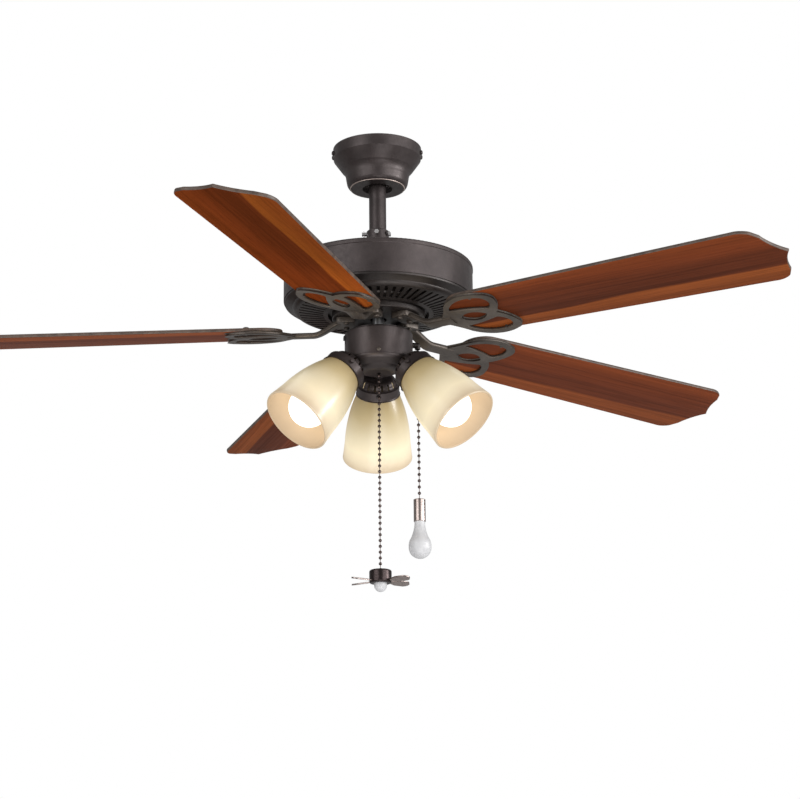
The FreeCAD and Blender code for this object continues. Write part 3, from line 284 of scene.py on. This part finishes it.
# a light copy of the bronze: painted highlight for the bright ring at the canopy's lip
bronze_painted_highlight = bronze_paint("painted_highlight_edge", (0.42, 0.34, 0.3), (0.6, 0.5, 0.45), 0.35)
# three copies of one veneer, lighter or darker in the middle and with more or less sheen, so that each
# blade matches the light that falls on it: painted light and shade
lit_veneer_copy = veneer("veneer_lit_copy", (0.112, 0.024, 0.0075), (0.24, 0.058, 0.014), 0.03)
shaded_veneer_copy = veneer("veneer_shaded_copy", (0.083, 0.018, 0.0055), (0.22, 0.056, 0.012), 0.02)
sheenless_veneer_copy = veneer("veneer_sheenless_copy", (0.096, 0.021, 0.006), (0.19, 0.05, 0.009), 0.0)
blade_edge = moulded("blade_edge", (0.045, 0.028, 0.02), (0.09, 0.06, 0.045), 0.5)
# one glass in three copies whose painted glow differs by how bright each shade shows
shade_glasses = [
    frosted_shade(name, glow)
    for name, glow in (("back_glass_painted_glow", 1.32), ("left_glass_painted_glow", 1.0), ("right_glass_painted_glow", 1.12))
]
glass_inside = inner_glass_painted_glow()
bulb_glass = lit_bulb()
pendant_glass = frosted_white("pendant_glass", 0.08)
coppery = metal("coppery_nickel", (0.26, 0.21, 0.195), (0.42, 0.36, 0.335), 0.26, (1, 1, 6))
# a darker copy of the same coppery nickel: painted shade standing in for the dark reflection on the
# pendant's hub
coppery_painted_shade = metal("coppery_nickel_painted_shade", (0.022, 0.017, 0.017), (0.06, 0.046, 0.045), 0.3, (1, 1, 6))
chain_metal = metal("bead_metal", (0.05, 0.036, 0.033), (0.13, 0.1, 0.094), 0.2, (1, 1, 6))
zinc = metal("zinc_plate", (0.42, 0.42, 0.43), (0.62, 0.62, 0.62), 0.38)
bright_steel = metal("bright_steel", (0.62, 0.60, 0.60), (0.85, 0.83, 0.82), 0.22, (1, 1, 8))
lamination = metal("stacked_sheet", (0.13, 0.13, 0.14), (0.3, 0.3, 0.31), 0.45, (1, 1, 30))
cast = metal("cast_aluminium", (0.42, 0.42, 0.43), (0.58, 0.58, 0.59), 0.5, scale=120.0)
copper = metal("copper_wire", (0.42, 0.14, 0.06), (0.72, 0.32, 0.17), 0.35, (1, 1, 8))
bright_cap = metal("bright_cap", (0.6, 0.6, 0.6), (0.8, 0.8, 0.8), 0.25, (1, 1, 12))
nylon = moulded("black_nylon", (0.012, 0.012, 0.013), (0.028, 0.028, 0.03), 0.45)
phenolic = moulded("brown_phenolic", (0.02, 0.014, 0.011), (0.045, 0.032, 0.026), 0.4)
jacket = moulded("wire_jacket", (0.02, 0.02, 0.022), (0.05, 0.05, 0.052), 0.4)


# ==================================================================== helpers
def turn(angle, axis="Z"):
    return Matrix.Rotation(math.radians(angle), 4, axis)


def arc(a, middle, b, steps=10):
    """Points of the circular arc from a through middle, up to but without b."""
    (ax, ay), (bx, by), (cx, cy) = a, middle, b
    d = 2 * (ax * (by - cy) + bx * (cy - ay) + cx * (ay - by))
    a2, b2, c2 = ax * ax + ay * ay, bx * bx + by * by, cx * cx + cy * cy
    x = (a2 * (by - cy) + b2 * (cy - ay) + c2 * (ay - by)) / d
    y = (a2 * (cx - bx) + b2 * (ax - cx) + c2 * (bx - ax)) / d
    start, mid, end = (math.atan2(q - y, p - x) for p, q in (a, middle, b))
    full = 2 * math.pi
    sweep = (end - start) % full
    if (mid - start) % full > sweep:
        sweep -= full
    r = math.hypot(ax - x, ay - y)
    return [
        (x + r * math.cos(start + sweep * i / steps), y + r * math.sin(start + sweep * i / steps))
        for i in range(steps)
    ]


def softened(points, radius, steps=4, closed=True):
    """The same outline with each corner cut by a small arc."""
    out = []
    count = len(points)
    for i, p in enumerate(points):
        if not closed and i in (0, count - 1):
            out.append(p)
            continue
        here, before, after = (Vector(q) for q in (p, points[i - 1], points[(i + 1) % count]))
        to_before, to_after = before - here, after - here
        near = min(radius, to_before.length * 0.45, to_after.length * 0.45)
        bend = to_before.angle(to_after, math.pi)
        if bend > math.radians(165) or near < AXIS:
            out.append(p)
            continue
        start = here + to_before.normalized() * near
        end = here + to_after.normalized() * near
        for k in range(steps + 1):
            t = k / steps
            q = start * (1 - t) ** 2 + here * 2 * t * (1 - t) + end * t * t
            out.append((q.x, q.y))
    return out


def lathe(profile, segments=SEGMENTS):
    """Closed mesh turned about Z. The profile is a closed loop of (radius, height) points,
    or runs from the axis to the axis. Its V coordinate is the share of the profile's length."""
    bm = bmesh.new()
    uv = bm.loops.layers.uv.new("UVMap")
    solid = profile[0][0] < AXIS
    run = [0.0]
    for p, q in zip(profile, profile[1:] + profile[:1]):
        run.append(run[-1] + math.dist(p, q))
    rings = []
    for r, z in profile:
        if r < AXIS:
            rings.append([bm.verts.new((0, 0, z * MM))] * segments)
            continue
        ring = []
        for i in range(segments):
            a = 2 * math.pi * i / segments
            ring.append(bm.verts.new((r * MM * math.cos(a), r * MM * math.sin(a), z * MM)))
        rings.append(ring)
    last = len(rings) - 1 if solid else len(rings)
    for k in range(last):
        lower, upper = rings[k], rings[(k + 1) % len(rings)]
        for i in range(segments):
            j = (i + 1) % segments
            corners = [
                (lower[i], i, k), (lower[j], i + 1, k), (upper[j], i + 1, k + 1), (upper[i], i, k + 1),
            ]
            unique = [c for n, c in enumerate(corners) if c[0] not in [d[0] for d in corners[:n]]]
            face = bm.faces.new([c[0] for c in unique])
            for loop, (_, u, v) in zip(face.loops, unique):
                loop[uv].uv = (u / segments, run[v] / run[-1])
    bmesh.ops.recalc_face_normals(bm, faces=bm.faces)
    return as_mesh(bm)


def as_mesh(bm):
    mesh = bpy.data.meshes.new("work")
    bm.to_mesh(mesh)
    bm.free()
    return mesh


def joined(*meshes):
    """One mesh of several, which keeps their UV maps and material slots by order."""
    bm = bmesh.new()
    for mesh in meshes:
        bm.from_mesh(mesh)
    return as_mesh(bm)


def moved(mesh, matrix):
    copy = mesh.copy()
    copy.transform(matrix)
    return copy


def piece(name, mesh, materials, body, stands_for=(), sharp=32.0):
    """A finished visible piece: smooth faces, sharp where they meet at more than that angle."""
    mesh.name = name
    if mesh.materials:
        mesh.materials.clear()
    for material in materials if isinstance(materials, (list, tuple)) else [materials]:
        mesh.materials.append(material)
    mesh.polygons.foreach_set("use_smooth", [True] * len(mesh.polygons))
    mesh.set_sharp_from_angle(angle=math.radians(sharp))
    obj = bpy.data.objects.new(name, mesh)
    bpy.context.scene.collection.objects.link(obj)
    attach(obj, body)
    if stands_for:
        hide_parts(*stands_for)
    return obj


def plate(outline, holes, thickness, rounding):
    """Flat plate with rounded edges from z = 0 to thickness, filled between outline and holes."""
    curve = bpy.data.curves.new("plate", "CURVE")
    curve.dimensions = "2D"
    curve.fill_mode = "BOTH"
    curve.extrude = (thickness / 2 - rounding) * MM
    curve.bevel_depth = rounding * MM
    curve.bevel_resolution = 3
    curve.offset = -rounding * MM
    for loop in [outline, *holes]:
        spline = curve.splines.new("POLY")
        spline.points.add(len(loop) - 1)
        for point, (x, y) in zip(spline.points, loop):
            point.co = (x * MM, y * MM, 0, 1)
        spline.use_cyclic_u = True
    mesh = baked(bpy.data.objects.new("plate", curve))
    bpy.data.curves.remove(curve)
    bm = bmesh.new()
    bm.from_mesh(mesh)
    bmesh.ops.remove_doubles(bm, verts=bm.verts, dist=0.00001)
    bmesh.ops.recalc_face_normals(bm, faces=bm.faces)
    bmesh.ops.translate(bm, verts=bm.verts, vec=(0, 0, thickness / 2 * MM))
    return as_mesh(bm)


def baked(obj):
    """Plain mesh of an object as its modifiers leave it; the object itself is removed."""
    bpy.context.scene.collection.objects.link(obj)
    evaluated = obj.evaluated_get(bpy.context.evaluated_depsgraph_get())
    mesh = bpy.data.meshes.new_from_object(evaluated)
    bpy.data.objects.remove(obj)
    return mesh


# ============================================================= geometry nodes
class Repeat:
    """A geometry node tree with named inputs, which ends in real geometry with a material."""

    def __init__(self, name, **inputs):
        self.group = bpy.data.node_groups.new(name, "GeometryNodeTree")
        sockets = self.group.interface
        sockets.new_socket("Geometry", in_out="INPUT", socket_type="NodeSocketGeometry")
        for key, (kind, value) in inputs.items():
            socket = sockets.new_socket(key, in_out="INPUT", socket_type="NodeSocket" + kind)
            socket.default_value = value
        sockets.new_socket("Material", in_out="INPUT", socket_type="NodeSocketMaterial")
        sockets.new_socket("Geometry", in_out="OUTPUT", socket_type="NodeSocketGeometry")
        self.given = self.group.nodes.new("NodeGroupInput").outputs

    def node(self, kind, inputs=(), **settings):
        made = self.group.nodes.new(kind)
        for key, value in settings.items():
            setattr(made, key, value)
        for key, value in dict(inputs).items():
            socket = made.inputs[key]
            if isinstance(value, bpy.types.NodeSocket):
                self.group.links.new(value, socket)
            else:
                socket.default_value = value
        return made

    def end(self, geometry):
        real = self.node("GeometryNodeRealizeInstances", {"Geometry": geometry})
        done = self.node("GeometryNodeSetMaterial", {
            "Geometry": real.outputs["Geometry"], "Material": self.given["Material"],
        })
        out = self.group.nodes.new("NodeGroupOutput")
        self.group.links.new(done.outputs["Geometry"], out.inputs["Geometry"])
        return self

    def run(self, mesh, material, **values):
        """Plain mesh that the tree makes of this one."""
        obj = bpy.data.objects.new("repeat", mesh)
        modifier = obj.modifiers.new("repeat", "NODES")
        modifier.node_group = self.group
        values["Material"] = material
        for item in self.group.interface.items_tree:
            if item.in_out == "INPUT" and item.name in values:
                modifier[item.identifier] = values[item.name]
        return baked(obj)


def ring_tree():
    """Copies of the mesh turned about the Z axis."""
    tree = Repeat("ring_of_copies", Count=("Int", 8))
    points = tree.node("GeometryNodePoints", {"Count": tree.given["Count"]})
    step = tree.node("ShaderNodeMath", {0: 2 * math.pi, 1: tree.given["Count"]}, operation="DIVIDE")
    index = tree.node("GeometryNodeInputIndex")
    angle = tree.node("ShaderNodeMath", {
        0: index.outputs["Index"], 1: step.outputs[0],
    }, operation="MULTIPLY")
    facing = tree.node("ShaderNodeCombineXYZ", {"Z": angle.outputs[0]})
    copies = tree.node("GeometryNodeInstanceOnPoints", {
        "Points": points.outputs[0], "Instance": tree.given["Geometry"], "Rotation": facing.outputs[0],
    })
    return tree.end(copies.outputs["Instances"])


def chain_tree():
    """Beads on a thin wire along an edge line."""
    tree = Repeat("bead_chain", Pitch=("Float", 0.008), Bead=("Float", 0.002), Wire=("Float", 0.0005))
    line = tree.node("GeometryNodeMeshToCurve", {"Mesh": tree.given["Geometry"]})
    spots = tree.node("GeometryNodeResampleCurve", {
        "Curve": line.outputs["Curve"], "Length": tree.given["Pitch"],
    }, mode="LENGTH")
    bead = tree.node("GeometryNodeMeshUVSphere", {
        "Segments": 20, "Rings": 12, "Radius": tree.given["Bead"],
    })
    beads = tree.node("GeometryNodeInstanceOnPoints", {
        "Points": spots.outputs["Curve"], "Instance": bead.outputs["Mesh"],
    })
    section = tree.node("GeometryNodeCurvePrimitiveCircle", {
        "Resolution": 8, "Radius": tree.given["Wire"],
    })
    wire = tree.node("GeometryNodeCurveToMesh", {
        "Curve": line.outputs["Curve"], "Profile Curve": section.outputs["Curve"], "Fill Caps": True,
    })
    both = tree.node("GeometryNodeJoinGeometry")
    tree.group.links.new(beads.outputs["Instances"], both.inputs[0])
    tree.group.links.new(wire.outputs["Mesh"], both.inputs[0])
    return tree.end(both.outputs["Geometry"])


ring = ring_tree()
chain = chain_tree()


# ===================================================================== camera
def make_camera():
    data = bpy.data.cameras.new("camera")
    data.sensor_width = CAMERA_SENSOR
    data.lens = CAMERA_LENS
    data.shift_x, data.shift_y = CAMERA_SHIFT
    camera = bpy.data.objects.new("camera", data)
    facing = turn(90 + CAMERA_RISE, "X") @ turn(CAMERA_ROLL)
    camera.matrix_world = Matrix.Translation(CAMERA_PLACE) @ facing
    bpy.context.scene.collection.objects.link(camera)
    bpy.context.scene.camera = camera


# ================================================================ pull chains
def hanging_line(top, bottom):
    """Edge line of a straight hanging cord, read from its spline."""
    curve = bpy.data.curves.new("route", "CURVE")
    curve.dimensions = "3D"
    spline = curve.splines.new("NURBS")
    spline.points.add(2)
    for point, place in zip(spline.points, (top, (top + bottom) / 2, bottom)):
        point.co = (*place, 1)
    spline.order_u = 3
    spline.use_endpoint_u = True
    obj = bpy.data.objects.new("route", curve)
    mesh = bpy.data.meshes.new_from_object(obj)
    bpy.data.objects.remove(obj)
    bpy.data.curves.remove(curve)
    return mesh


def make_chain(name, node, body, pitch, pendants):
    low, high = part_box(node)
    x, y = (low.x + high.x) / 2, (low.y + high.y) / 2
    top, bottom = Vector((x, y, high.z)), Vector((x, y, low.z))
    line = hanging_line(top, bottom)
    beads = chain.run(
        line, chain_metal, Pitch=pitch * MM, Bead=CHAIN_BEAD * MM, Wire=CHAIN_WIRE * MM,
    )
    made = piece(name, beads, chain_metal, body, [node])


# ===================================================================== blades
def blade_turn(index):
    return turn(FIRST_BLADE + 360 * index / BLADES)


def blade_place(index):
    rise = Matrix.Translation((0, 0, BLADE_HEIGHT * MM))
    return blade_turn(index) @ rise @ turn(BLADE_DROOP, "Y") @ turn(-BLADE_PITCH, "X")


def mirrored(half):
    """Closed outline of a half drawn from one crossing of the X axis to the other."""
    return half + [(x, -y) for x, y in reversed(half) if abs(y) > AXIS]


def blade_outline():
    root, half, corner = 140.0, 57.0, 35.0
    bulge = corner * (1 - math.sqrt(0.5))
    tip = 660.4
    points = [(root, 0.0)]
    points += arc((root, half - corner), (root + bulge, half - bulge), (root + corner, half), 14)
    points += [(root + corner, half)]
    points += arc((608.0, 68.2), (627.0, 64.7), (633.0, 60.5), 8)
    points += [(633.0, 60.5)]
    points += arc((640.8, 47.0), (648.5, 20.0), (tip, 0.0), 14)
    points += [(tip, 0.0)]
    return mirrored(points)


def make_blade(index):
    bm = bmesh.new()
    uv = bm.loops.layers.uv.new("UVMap")
    low = [bm.verts.new((x * MM, y * MM, 0)) for x, y in blade_outline()]
    face = bm.faces.new(low)
    grown = bmesh.ops.extrude_face_region(bm, geom=[face])
    top = [v for v in grown["geom"] if isinstance(v, bmesh.types.BMVert)]
    bmesh.ops.translate(bm, verts=top, vec=(0, 0, BLADE_THICKNESS * MM))
    bmesh.ops.recalc_face_normals(bm, faces=bm.faces)
    rims = [e for e in bm.edges if len(e.link_faces) == 2 and any(len(f.verts) > 4 for f in e.link_faces)]
    bmesh.ops.bevel(bm, geom=rims, offset=BLADE_EDGE * MM, segments=3, profile=0.5, affect="EDGES")
    bm.normal_update()
    for f in bm.faces:
        flat = abs(f.normal.z) > 0.9
        f.material_index = 0 if flat else 1
        for loop in f.loops:
            loop[uv].uv = (loop.vert.co.x + GRAIN_STEP * index, loop.vert.co.y)
    mesh = as_mesh(bm)
    mesh.transform(blade_place(index))
    name = "blade_%d" % (index + 1)
    # each blade takes the veneer copy painted for the light that falls on it
    face = (lit_veneer_copy, shaded_veneer_copy, lit_veneer_copy, sheenless_veneer_copy, shaded_veneer_copy)[index]
    piece(name + "_veneered", mesh, [face, blade_edge], "rotor", [name])


# ================================================================= blade arms
def medallion_outline():
    points = [(120.0, 0.0)]
    points += arc((120.0, 8.5), (129.0, 19.0), (142.0, 38.0), 8)
    points += arc((142.0, 38.0), (174.0, 57.0), (210.0, 52.0), 14)
    points += arc((210.0, 52.0), (220.0, 44.5), (221.5, 31.0), 8)
    points += arc((221.5, 31.0), (215.0, 13.5), (204.0, 0.0), 8)
    points += [(204.0, 0.0)]
    return mirrored(points)


def medallion_openings():
    almond = [(147.5, 0.0)] + arc((147.5, 3.0), (165.0, 13.2), (192.0, 0.0), 14)
    almond = softened(mirrored(almond + [(192.0, 0.0)]), 2.0, 3)
    leaf = arc((141.0, 24.5), (169.0, 47.0), (206.0, 44.0), 14)
    leaf += arc((206.0, 44.0), (211.0, 31.0), (199.0, 13.5), 8)
    leaf += arc((199.0, 13.5), (173.0, 20.4), (141.0, 24.5), 12)
    leaf = softened(leaf, 3.0, 3)
    return [almond, leaf, [(x, -y) for x, y in reversed(leaf)]]


def neck_mesh():
    """Pad under the hub, and the strap that falls and twists from it to the medallion."""
    pad, pad_in, pad_out, pad_half = 8.5, 34.0, 62.0, 19.0
    thick, strap_half, bend, level, end = 7.5, 10.0, 51.0, 96.0, 133.0
    strap = bmesh.new()
    rings = []
    steps = 40
    for i in range(steps + 1):
        x = bend + (end - bend) * i / steps
        t = min((x - bend) / (level - bend), 1.0)
        share = t * t * (3 - 2 * t)
        start = HUB_FACE - pad / 2
        fall = start - (BLADE_HEIGHT - x * math.sin(math.radians(BLADE_DROOP)) - ARM_PLATE / 2)
        half = thick / 2 * math.hypot(1, 6 * t * (1 - t) * fall / (level - bend))
        w = strap_half
        corners = softened([(-w, -half), (w, -half), (w, half), (-w, half)], 3.2, 5)
        middle = Matrix.Translation((x * MM, 0, (start - share * fall) * MM))
        place = middle @ turn(-share * BLADE_PITCH, "X")
        rings.append([strap.verts.new(place @ Vector((0, y * MM, z * MM))) for y, z in corners])
    for a, b in zip(rings, rings[1:]):
        for i in range(len(a)):
            j = (i + 1) % len(a)
            strap.faces.new((a[i], a[j], b[j], b[i]))
    strap.faces.new(rings[0])
    strap.faces.new(list(reversed(rings[-1])))
    bmesh.ops.recalc_face_normals(strap, faces=strap.faces)
    corners = [(pad_in, -pad_half), (pad_out, -pad_half), (pad_out, pad_half), (pad_in, pad_half)]
    foot = plate(softened(corners, 6.0, 6), [], pad, 1.4)
    foot.transform(Matrix.Translation((0, 0, (HUB_FACE - pad) * MM)))
    return joined(as_mesh(strap), foot)


def make_arms():
    flat = plate(medallion_outline(), medallion_openings(), ARM_PLATE, ARM_ROUNDING)
    flat.transform(Matrix.Translation((0, 0, -ARM_PLATE * MM)))
    neck = neck_mesh()
    for index in range(BLADES):
        medallion = moved(flat, blade_place(index))
        strap = moved(neck, blade_turn(index))
        name = "blade_arm_%d" % (index + 1)
        arm = joined(medallion, strap)
        piece(name + "_cast", arm, bronze_grey, "rotor", [name], 40.0)


# ====================================================================== lamps
def lamp_place(index):
    angle = FIRST_LAMP + 360 * index / LAMPS
    r = LAMP_RIM_RADIUS * MM
    a = math.radians(angle)
    rim = Matrix.Translation((r * math.cos(a), r * math.sin(a), LAMP_RIM_HEIGHT * MM))
    return rim @ turn(angle) @ turn(-LAMP_TILT, "Y")


def shade_line(inset):
    """Outer line of the glass, moved inwards, from its neck to its mouth."""
    neck, throat, upper, lower, mouth = (r - inset for r in (28.4, 31.2, 41.4, 49.1, 52.2))
    lip = -SHADE_DEPTH + SHADE_WALL / 2
    points = [(neck, 11.0)]
    points += arc((neck, 3.0), (neck + 0.9, 0.9), (throat, -0.4), 5)
    points += arc((throat, -0.4), (36.8 - inset, -15.0), (upper, -30.0), 12)
    points += arc((upper, -30.0), (46.6 - inset, -55.0), (lower, -80.0), 12)
    points += arc((lower, -80.0), ((lower + mouth) / 2, -93.9), (mouth, lip), 10)
    return points + [(mouth, lip)]


def make_shade(index):
    outer, inner = shade_line(0.0), shade_line(SHADE_WALL)
    mouth, lip = outer[-1]
    half = SHADE_WALL / 2
    rim = arc((mouth, lip), (mouth - half, lip - half), (mouth - SHADE_WALL, lip), 8)
    profile = outer[:-1] + rim + list(reversed(inner))
    mesh = lathe(profile, 128)
    layer = mesh.uv_layers["UVMap"].data
    for loop in mesh.loops:
        layer[loop.index].uv.y = -mesh.vertices[loop.vertex_index].co.z / (SHADE_DEPTH * MM)
    # inside faces take the copy of the glass with its own painted glow
    for face in mesh.polygons:
        outward = Vector((face.center.x, face.center.y, 0))
        face.material_index = 1 if face.normal.dot(outward) < 0 else 0
    mesh.transform(lamp_place(index))
    name = "shade_%d" % (index + 1)
    glasses = [shade_glasses[index], glass_inside]
    piece(name + "_glass", mesh, glasses, "suspension", [name])


def make_bulb(index):
    r, centre, neck, neck_at = 29.6, -76.0, 13.0, -28.0
    a = math.radians(38)
    join = (r * math.cos(a), centre + r * math.sin(a))
    side = (r * math.cos(math.radians(-26)), centre + r * math.sin(math.radians(-26)))
    points = [(0.0, neck_at)]
    points += arc((neck, neck_at), ((neck + r) / 2 - 3.2, neck_at - 13.0), join, 12)
    points += arc(join, side, (0.0, centre - r), 32)
    points += [(0.0, centre - r)]
    mesh = lathe(points, 64)
    mesh.transform(lamp_place(index))
    name = "bulb_%d" % (index + 1)
    piece(name + "_lit", mesh, bulb_glass, "suspension", [name])


def thumbscrew_mesh():
    """Knurled head and shank along +Z, from inside the holder's band outwards."""
    head = lathe(softened([(0.0, 0.4), (3.0, 0.4), (3.0, 5.0), (0.0, 5.0)], 0.5, 3, closed=False), 32)
    rib = bmesh.new()
    bmesh.ops.create_cube(rib, size=1.0)
    bmesh.ops.scale(rib, verts=rib.verts, vec=(0.8 * MM, 0.55 * MM, 3.6 * MM))
    bmesh.ops.translate(rib, verts=rib.verts, vec=(3.0 * MM, 0, 2.7 * MM))
    knurl = ring.run(as_mesh(rib), bronze, Count=18)
    shank = lathe([(0.0, -3.0), (1.6, -3.0), (1.6, 0.6), (0.0, 0.6)], 20)
    return joined(head, knurl, shank)


def make_thumbscrews():
    one = thumbscrew_mesh()
    seat_r, seat_z = THUMB_SEAT
    outward = Matrix.Translation((seat_r * MM, 0, seat_z * MM)) @ turn(90, "Y")
    placed = [
        moved(one, lamp_place(index) @ turn(phase + 360 * i / THUMBS) @ outward)
        for index, phase in enumerate(THUMB_PHASES) for i in range(THUMBS)
    ]
    piece("thumbscrews_knurled", joined(*placed), bronze, "suspension", ["thumbscrews"])


# ===================================================================== canopy
def make_canopy_lip():
    """Thin rolled bead round the canopy's lower face, half sunk in its corner; its light colour is a
    painted highlight on that edge.
    """
    r, bead, rise = 39.95, 0.9, 0.93
    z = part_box("canopy")[0].z / MM + rise
    ring_line = [
        (r + bead * math.cos(math.radians(a)), z + bead * math.sin(math.radians(a)))
        for a in range(0, 360, 45)
    ]
    piece("canopy_lip", lathe(ring_line), bronze_painted_highlight, "mounting")


# =================================================================== pendants
def make_fan_pendant():
    hub_r, hub_height = 16.0, 19.9
    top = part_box("fan_chain")[0].z / MM
    foot = top - hub_height
    outline = [
        (0.0, top), (4.0, top), (4.0, top - 1), (hub_r - 1.5, top - 1), (hub_r, top - 2.5),
        (hub_r, foot + 1.5), (hub_r - 1.5, foot), (0.0, foot),
    ]
    hub = lathe(softened(outline, 0.7, 3, closed=False), 80)
    reach, half, root, thickness, rise, pitch = 47.5, 7.0, 3.2, 2.0, 2.5, 12
    side = [(6.0, 0.0), (6.0, root), (hub_r + 2, root), (hub_r + 12, half)]
    side += arc((reach - 6, half), (reach - 1.9, half - 2.6), (reach, 0.0), 8) + [(reach, 0.0)]
    paddle = plate(mirrored(side), [], thickness, 0.5)
    paddle.transform(Matrix.Translation((0, 0, (foot + rise) * MM)) @ turn(-pitch, "X"))
    paddles = [moved(paddle, turn(angle)) for angle in (32.0, 148.0, 212.0, 328.0)]
    mesh = joined(hub, *paddles)
    # the hub takes the darker copy (painted shade), the paddles the lighter one
    for face in mesh.polygons[len(hub.polygons):]:
        face.material_index = 1
    return piece(
        "fan_pendant_polished", mesh, [coppery_painted_shade, coppery], "fan_pull",
        ["fan_pendant"],
    )


def make_fan_tip():
    r, drop, pole = 9.2, 12.5, 0.6
    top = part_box("fan_pendant_tip")[1].z / MM
    points = [(0.0, top), (r, top), (r, top - 3)]
    points += arc((r, top - 3), (6.1, top - drop + 2.4), (pole, top - drop), 12)
    points += [(pole, top - drop), (0.0, top - drop)]
    return piece(
        "fan_pendant_tip_frosted", lathe(points, 48), pendant_glass, "fan_pull",
        ["fan_pendant_tip"],
    )


def make_light_pendant():
    low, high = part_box("light_pendant_sleeve")
    place = Matrix.Translation(((low.x + high.x) / 2, (low.y + high.y) / 2, 0))
    top, foot, r = high.z / MM, low.z / MM, 8.6
    outline = [(0.0, top), (r, top), (r, foot), (0.0, foot)]
    sleeve = lathe(softened(outline, 0.8, 4, closed=False), 64)
    sleeve.transform(place)
    sleeve_piece = piece(
        "light_pendant_sleeve_polished", sleeve, coppery, "light_pull",
        ["light_pendant_sleeve"],
    )
    wide, neck, pole, low_z = 16.3, 7.6, 0.6, foot - 54.0
    points = [(0.0, foot)]
    points += arc((neck, foot), (neck + 1.6, foot - 13), (wide * 0.8, foot - 24), 10)
    points += arc((wide * 0.8, foot - 24), (wide * 0.965, foot - 30), (wide, foot - 36), 6)
    points += arc((wide, foot - 36), (wide * 0.72, low_z + 4.9), (pole, low_z), 18)
    points += [(pole, low_z), (0.0, low_z)]
    bulb = lathe(points, 64)
    bulb.transform(place)
    bulb_piece = piece(
        "light_pendant_bulb_frosted", bulb, pendant_glass, "light_pull",
        ["light_pendant_bulb"],
    )
    return [sleeve_piece, bulb_piece]


# ============================================================ carried-over CAD
CAD_FINISHES = {
    bronze: (
        "canopy", "canopy_screws", "downrod", "motor_collar", "housing_top", "housing_screws",
        "shade_holder_1", "shade_holder_2", "shade_holder_3", "switch_cup", "fitter_bowl",
    ),
    # screws take the grey bronze of the arms; on the cup screws the lighter grey is partly a painted
    # highlight standing in for their bright rims
    bronze_grey: ("cup_screws", "arm_screws", "blade_screws"),
    # painted shade: these parts take the darker copy of the bronze
    bronze_painted_shade: ("adapter_plate", "housing_base", "chain_guide", "rotor_bottom"),
    bright_steel: ("rod_pins", "set_screws"),
    zinc: ("hanger_bracket", "shaft_nut", "motor_shaft", "bearings"),
    nylon: ("hanger_ball", "capacitor", "light_switch", "fan_switch", "reverse_switch", "reverse_slider"),
    jacket: ("lead_wires",),
    lamination: ("stator_core", "rotor_cage"),
    copper: ("stator_windings",),
    cast: ("rotor_top",),
    phenolic: ("lamp_sockets",),
    bright_cap: ("bulb_caps",),
}


def dress_cad():
    for material, nodes in CAD_FINISHES.items():
        for node in nodes:
            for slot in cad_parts[node].material_slots:
                slot.material = material


# ============================================================= light and floor
def make_light(name, place, aim, size, power, color=(1, 1, 1)):
    data = bpy.data.lights.new(name, "AREA")
    data.shape = "DISK"
    data.size = size
    data.energy = power
    data.color = color
    light = bpy.data.objects.new(name, data)
    light.location = place
    light.rotation_euler = (Vector(aim) - Vector(place)).to_track_quat("-Z", "Y").to_euler()
    bpy.context.scene.collection.objects.link(light)


def make_studio():
    middle = (0, 0, -0.35)
    make_light("key_left", (-2.4, -2.6, 0.1), middle, 3.0, 60)
    make_light("key_right", (2.6, -2.4, -0.1), middle, 3.0, 80)
    make_light(
        "lamp_glow", (-0.06, -0.24, -0.42), (-0.055, -0.20, -0.29), 0.10, 0.10, (1.0, 0.78, 0.42),
    )
    make_light("rim_right", (3.2, -0.6, -0.1), middle, 1.2, 58)
    make_light("from_below", (0, -1.2, -2.2), middle, 2.4, 30)
    make_light("from_above", (0, 0.6, 1.8), middle, 2.0, 8)
    scene = bpy.context.scene
    scene.view_settings.view_transform = "Standard"
    world = bpy.data.worlds.new("studio")
    scene.world = world
    world.use_nodes = True
    nodes, links = world.node_tree.nodes, world.node_tree.links
    seen, unseen = nodes["Background"], nodes.new("ShaderNodeBackground")
    for background, strength in ((seen, 1.0), (unseen, 0.35)):
        background.inputs["Color"].default_value = (1, 1, 1, 1)
        background.inputs["Strength"].default_value = strength
    pick, path = nodes.new("ShaderNodeMixShader"), nodes.new("ShaderNodeLightPath")
    links.new(path.outputs["Is Camera Ray"], pick.inputs[0])
    links.new(unseen.outputs[0], pick.inputs[1])
    links.new(seen.outputs[0], pick.inputs[2])
    links.new(pick.outputs[0], nodes["World Output"].inputs["Surface"])


def make_floor():
    bm = bmesh.new()
    bmesh.ops.create_grid(bm, x_segments=1, y_segments=1, size=6.0)
    bmesh.ops.translate(bm, verts=bm.verts, vec=(0, 0, -2.45))
    floor = bpy.data.objects.new("floor", as_mesh(bm))
    pale = Finish("pale_floor", rough=0.7)
    pale.set(color=pale.ramp(pale.noise(3.0), (0.3, (0.86, 0.86, 0.86)), (0.7, (0.9, 0.9, 0.9))))
    floor.data.materials.append(pale.material)
    bpy.context.scene.collection.objects.link(floor)


# ======================================================================= build
for i in range(BLADES):
    make_blade(i)
make_arms()
for i in range(LAMPS):
    make_shade(i)
    make_bulb(i)
make_thumbscrews()
make_canopy_lip()
make_chain(
    "fan_bead_chain", "fan_chain", "fan_pull", FAN_CHAIN_PITCH,
    [make_fan_pendant(), make_fan_tip()],
)
make_chain(
    "light_bead_chain", "light_chain", "light_pull", LIGHT_CHAIN_PITCH,
    make_light_pendant(),
)
dress_cad()
make_camera()
make_studio()
make_floor()
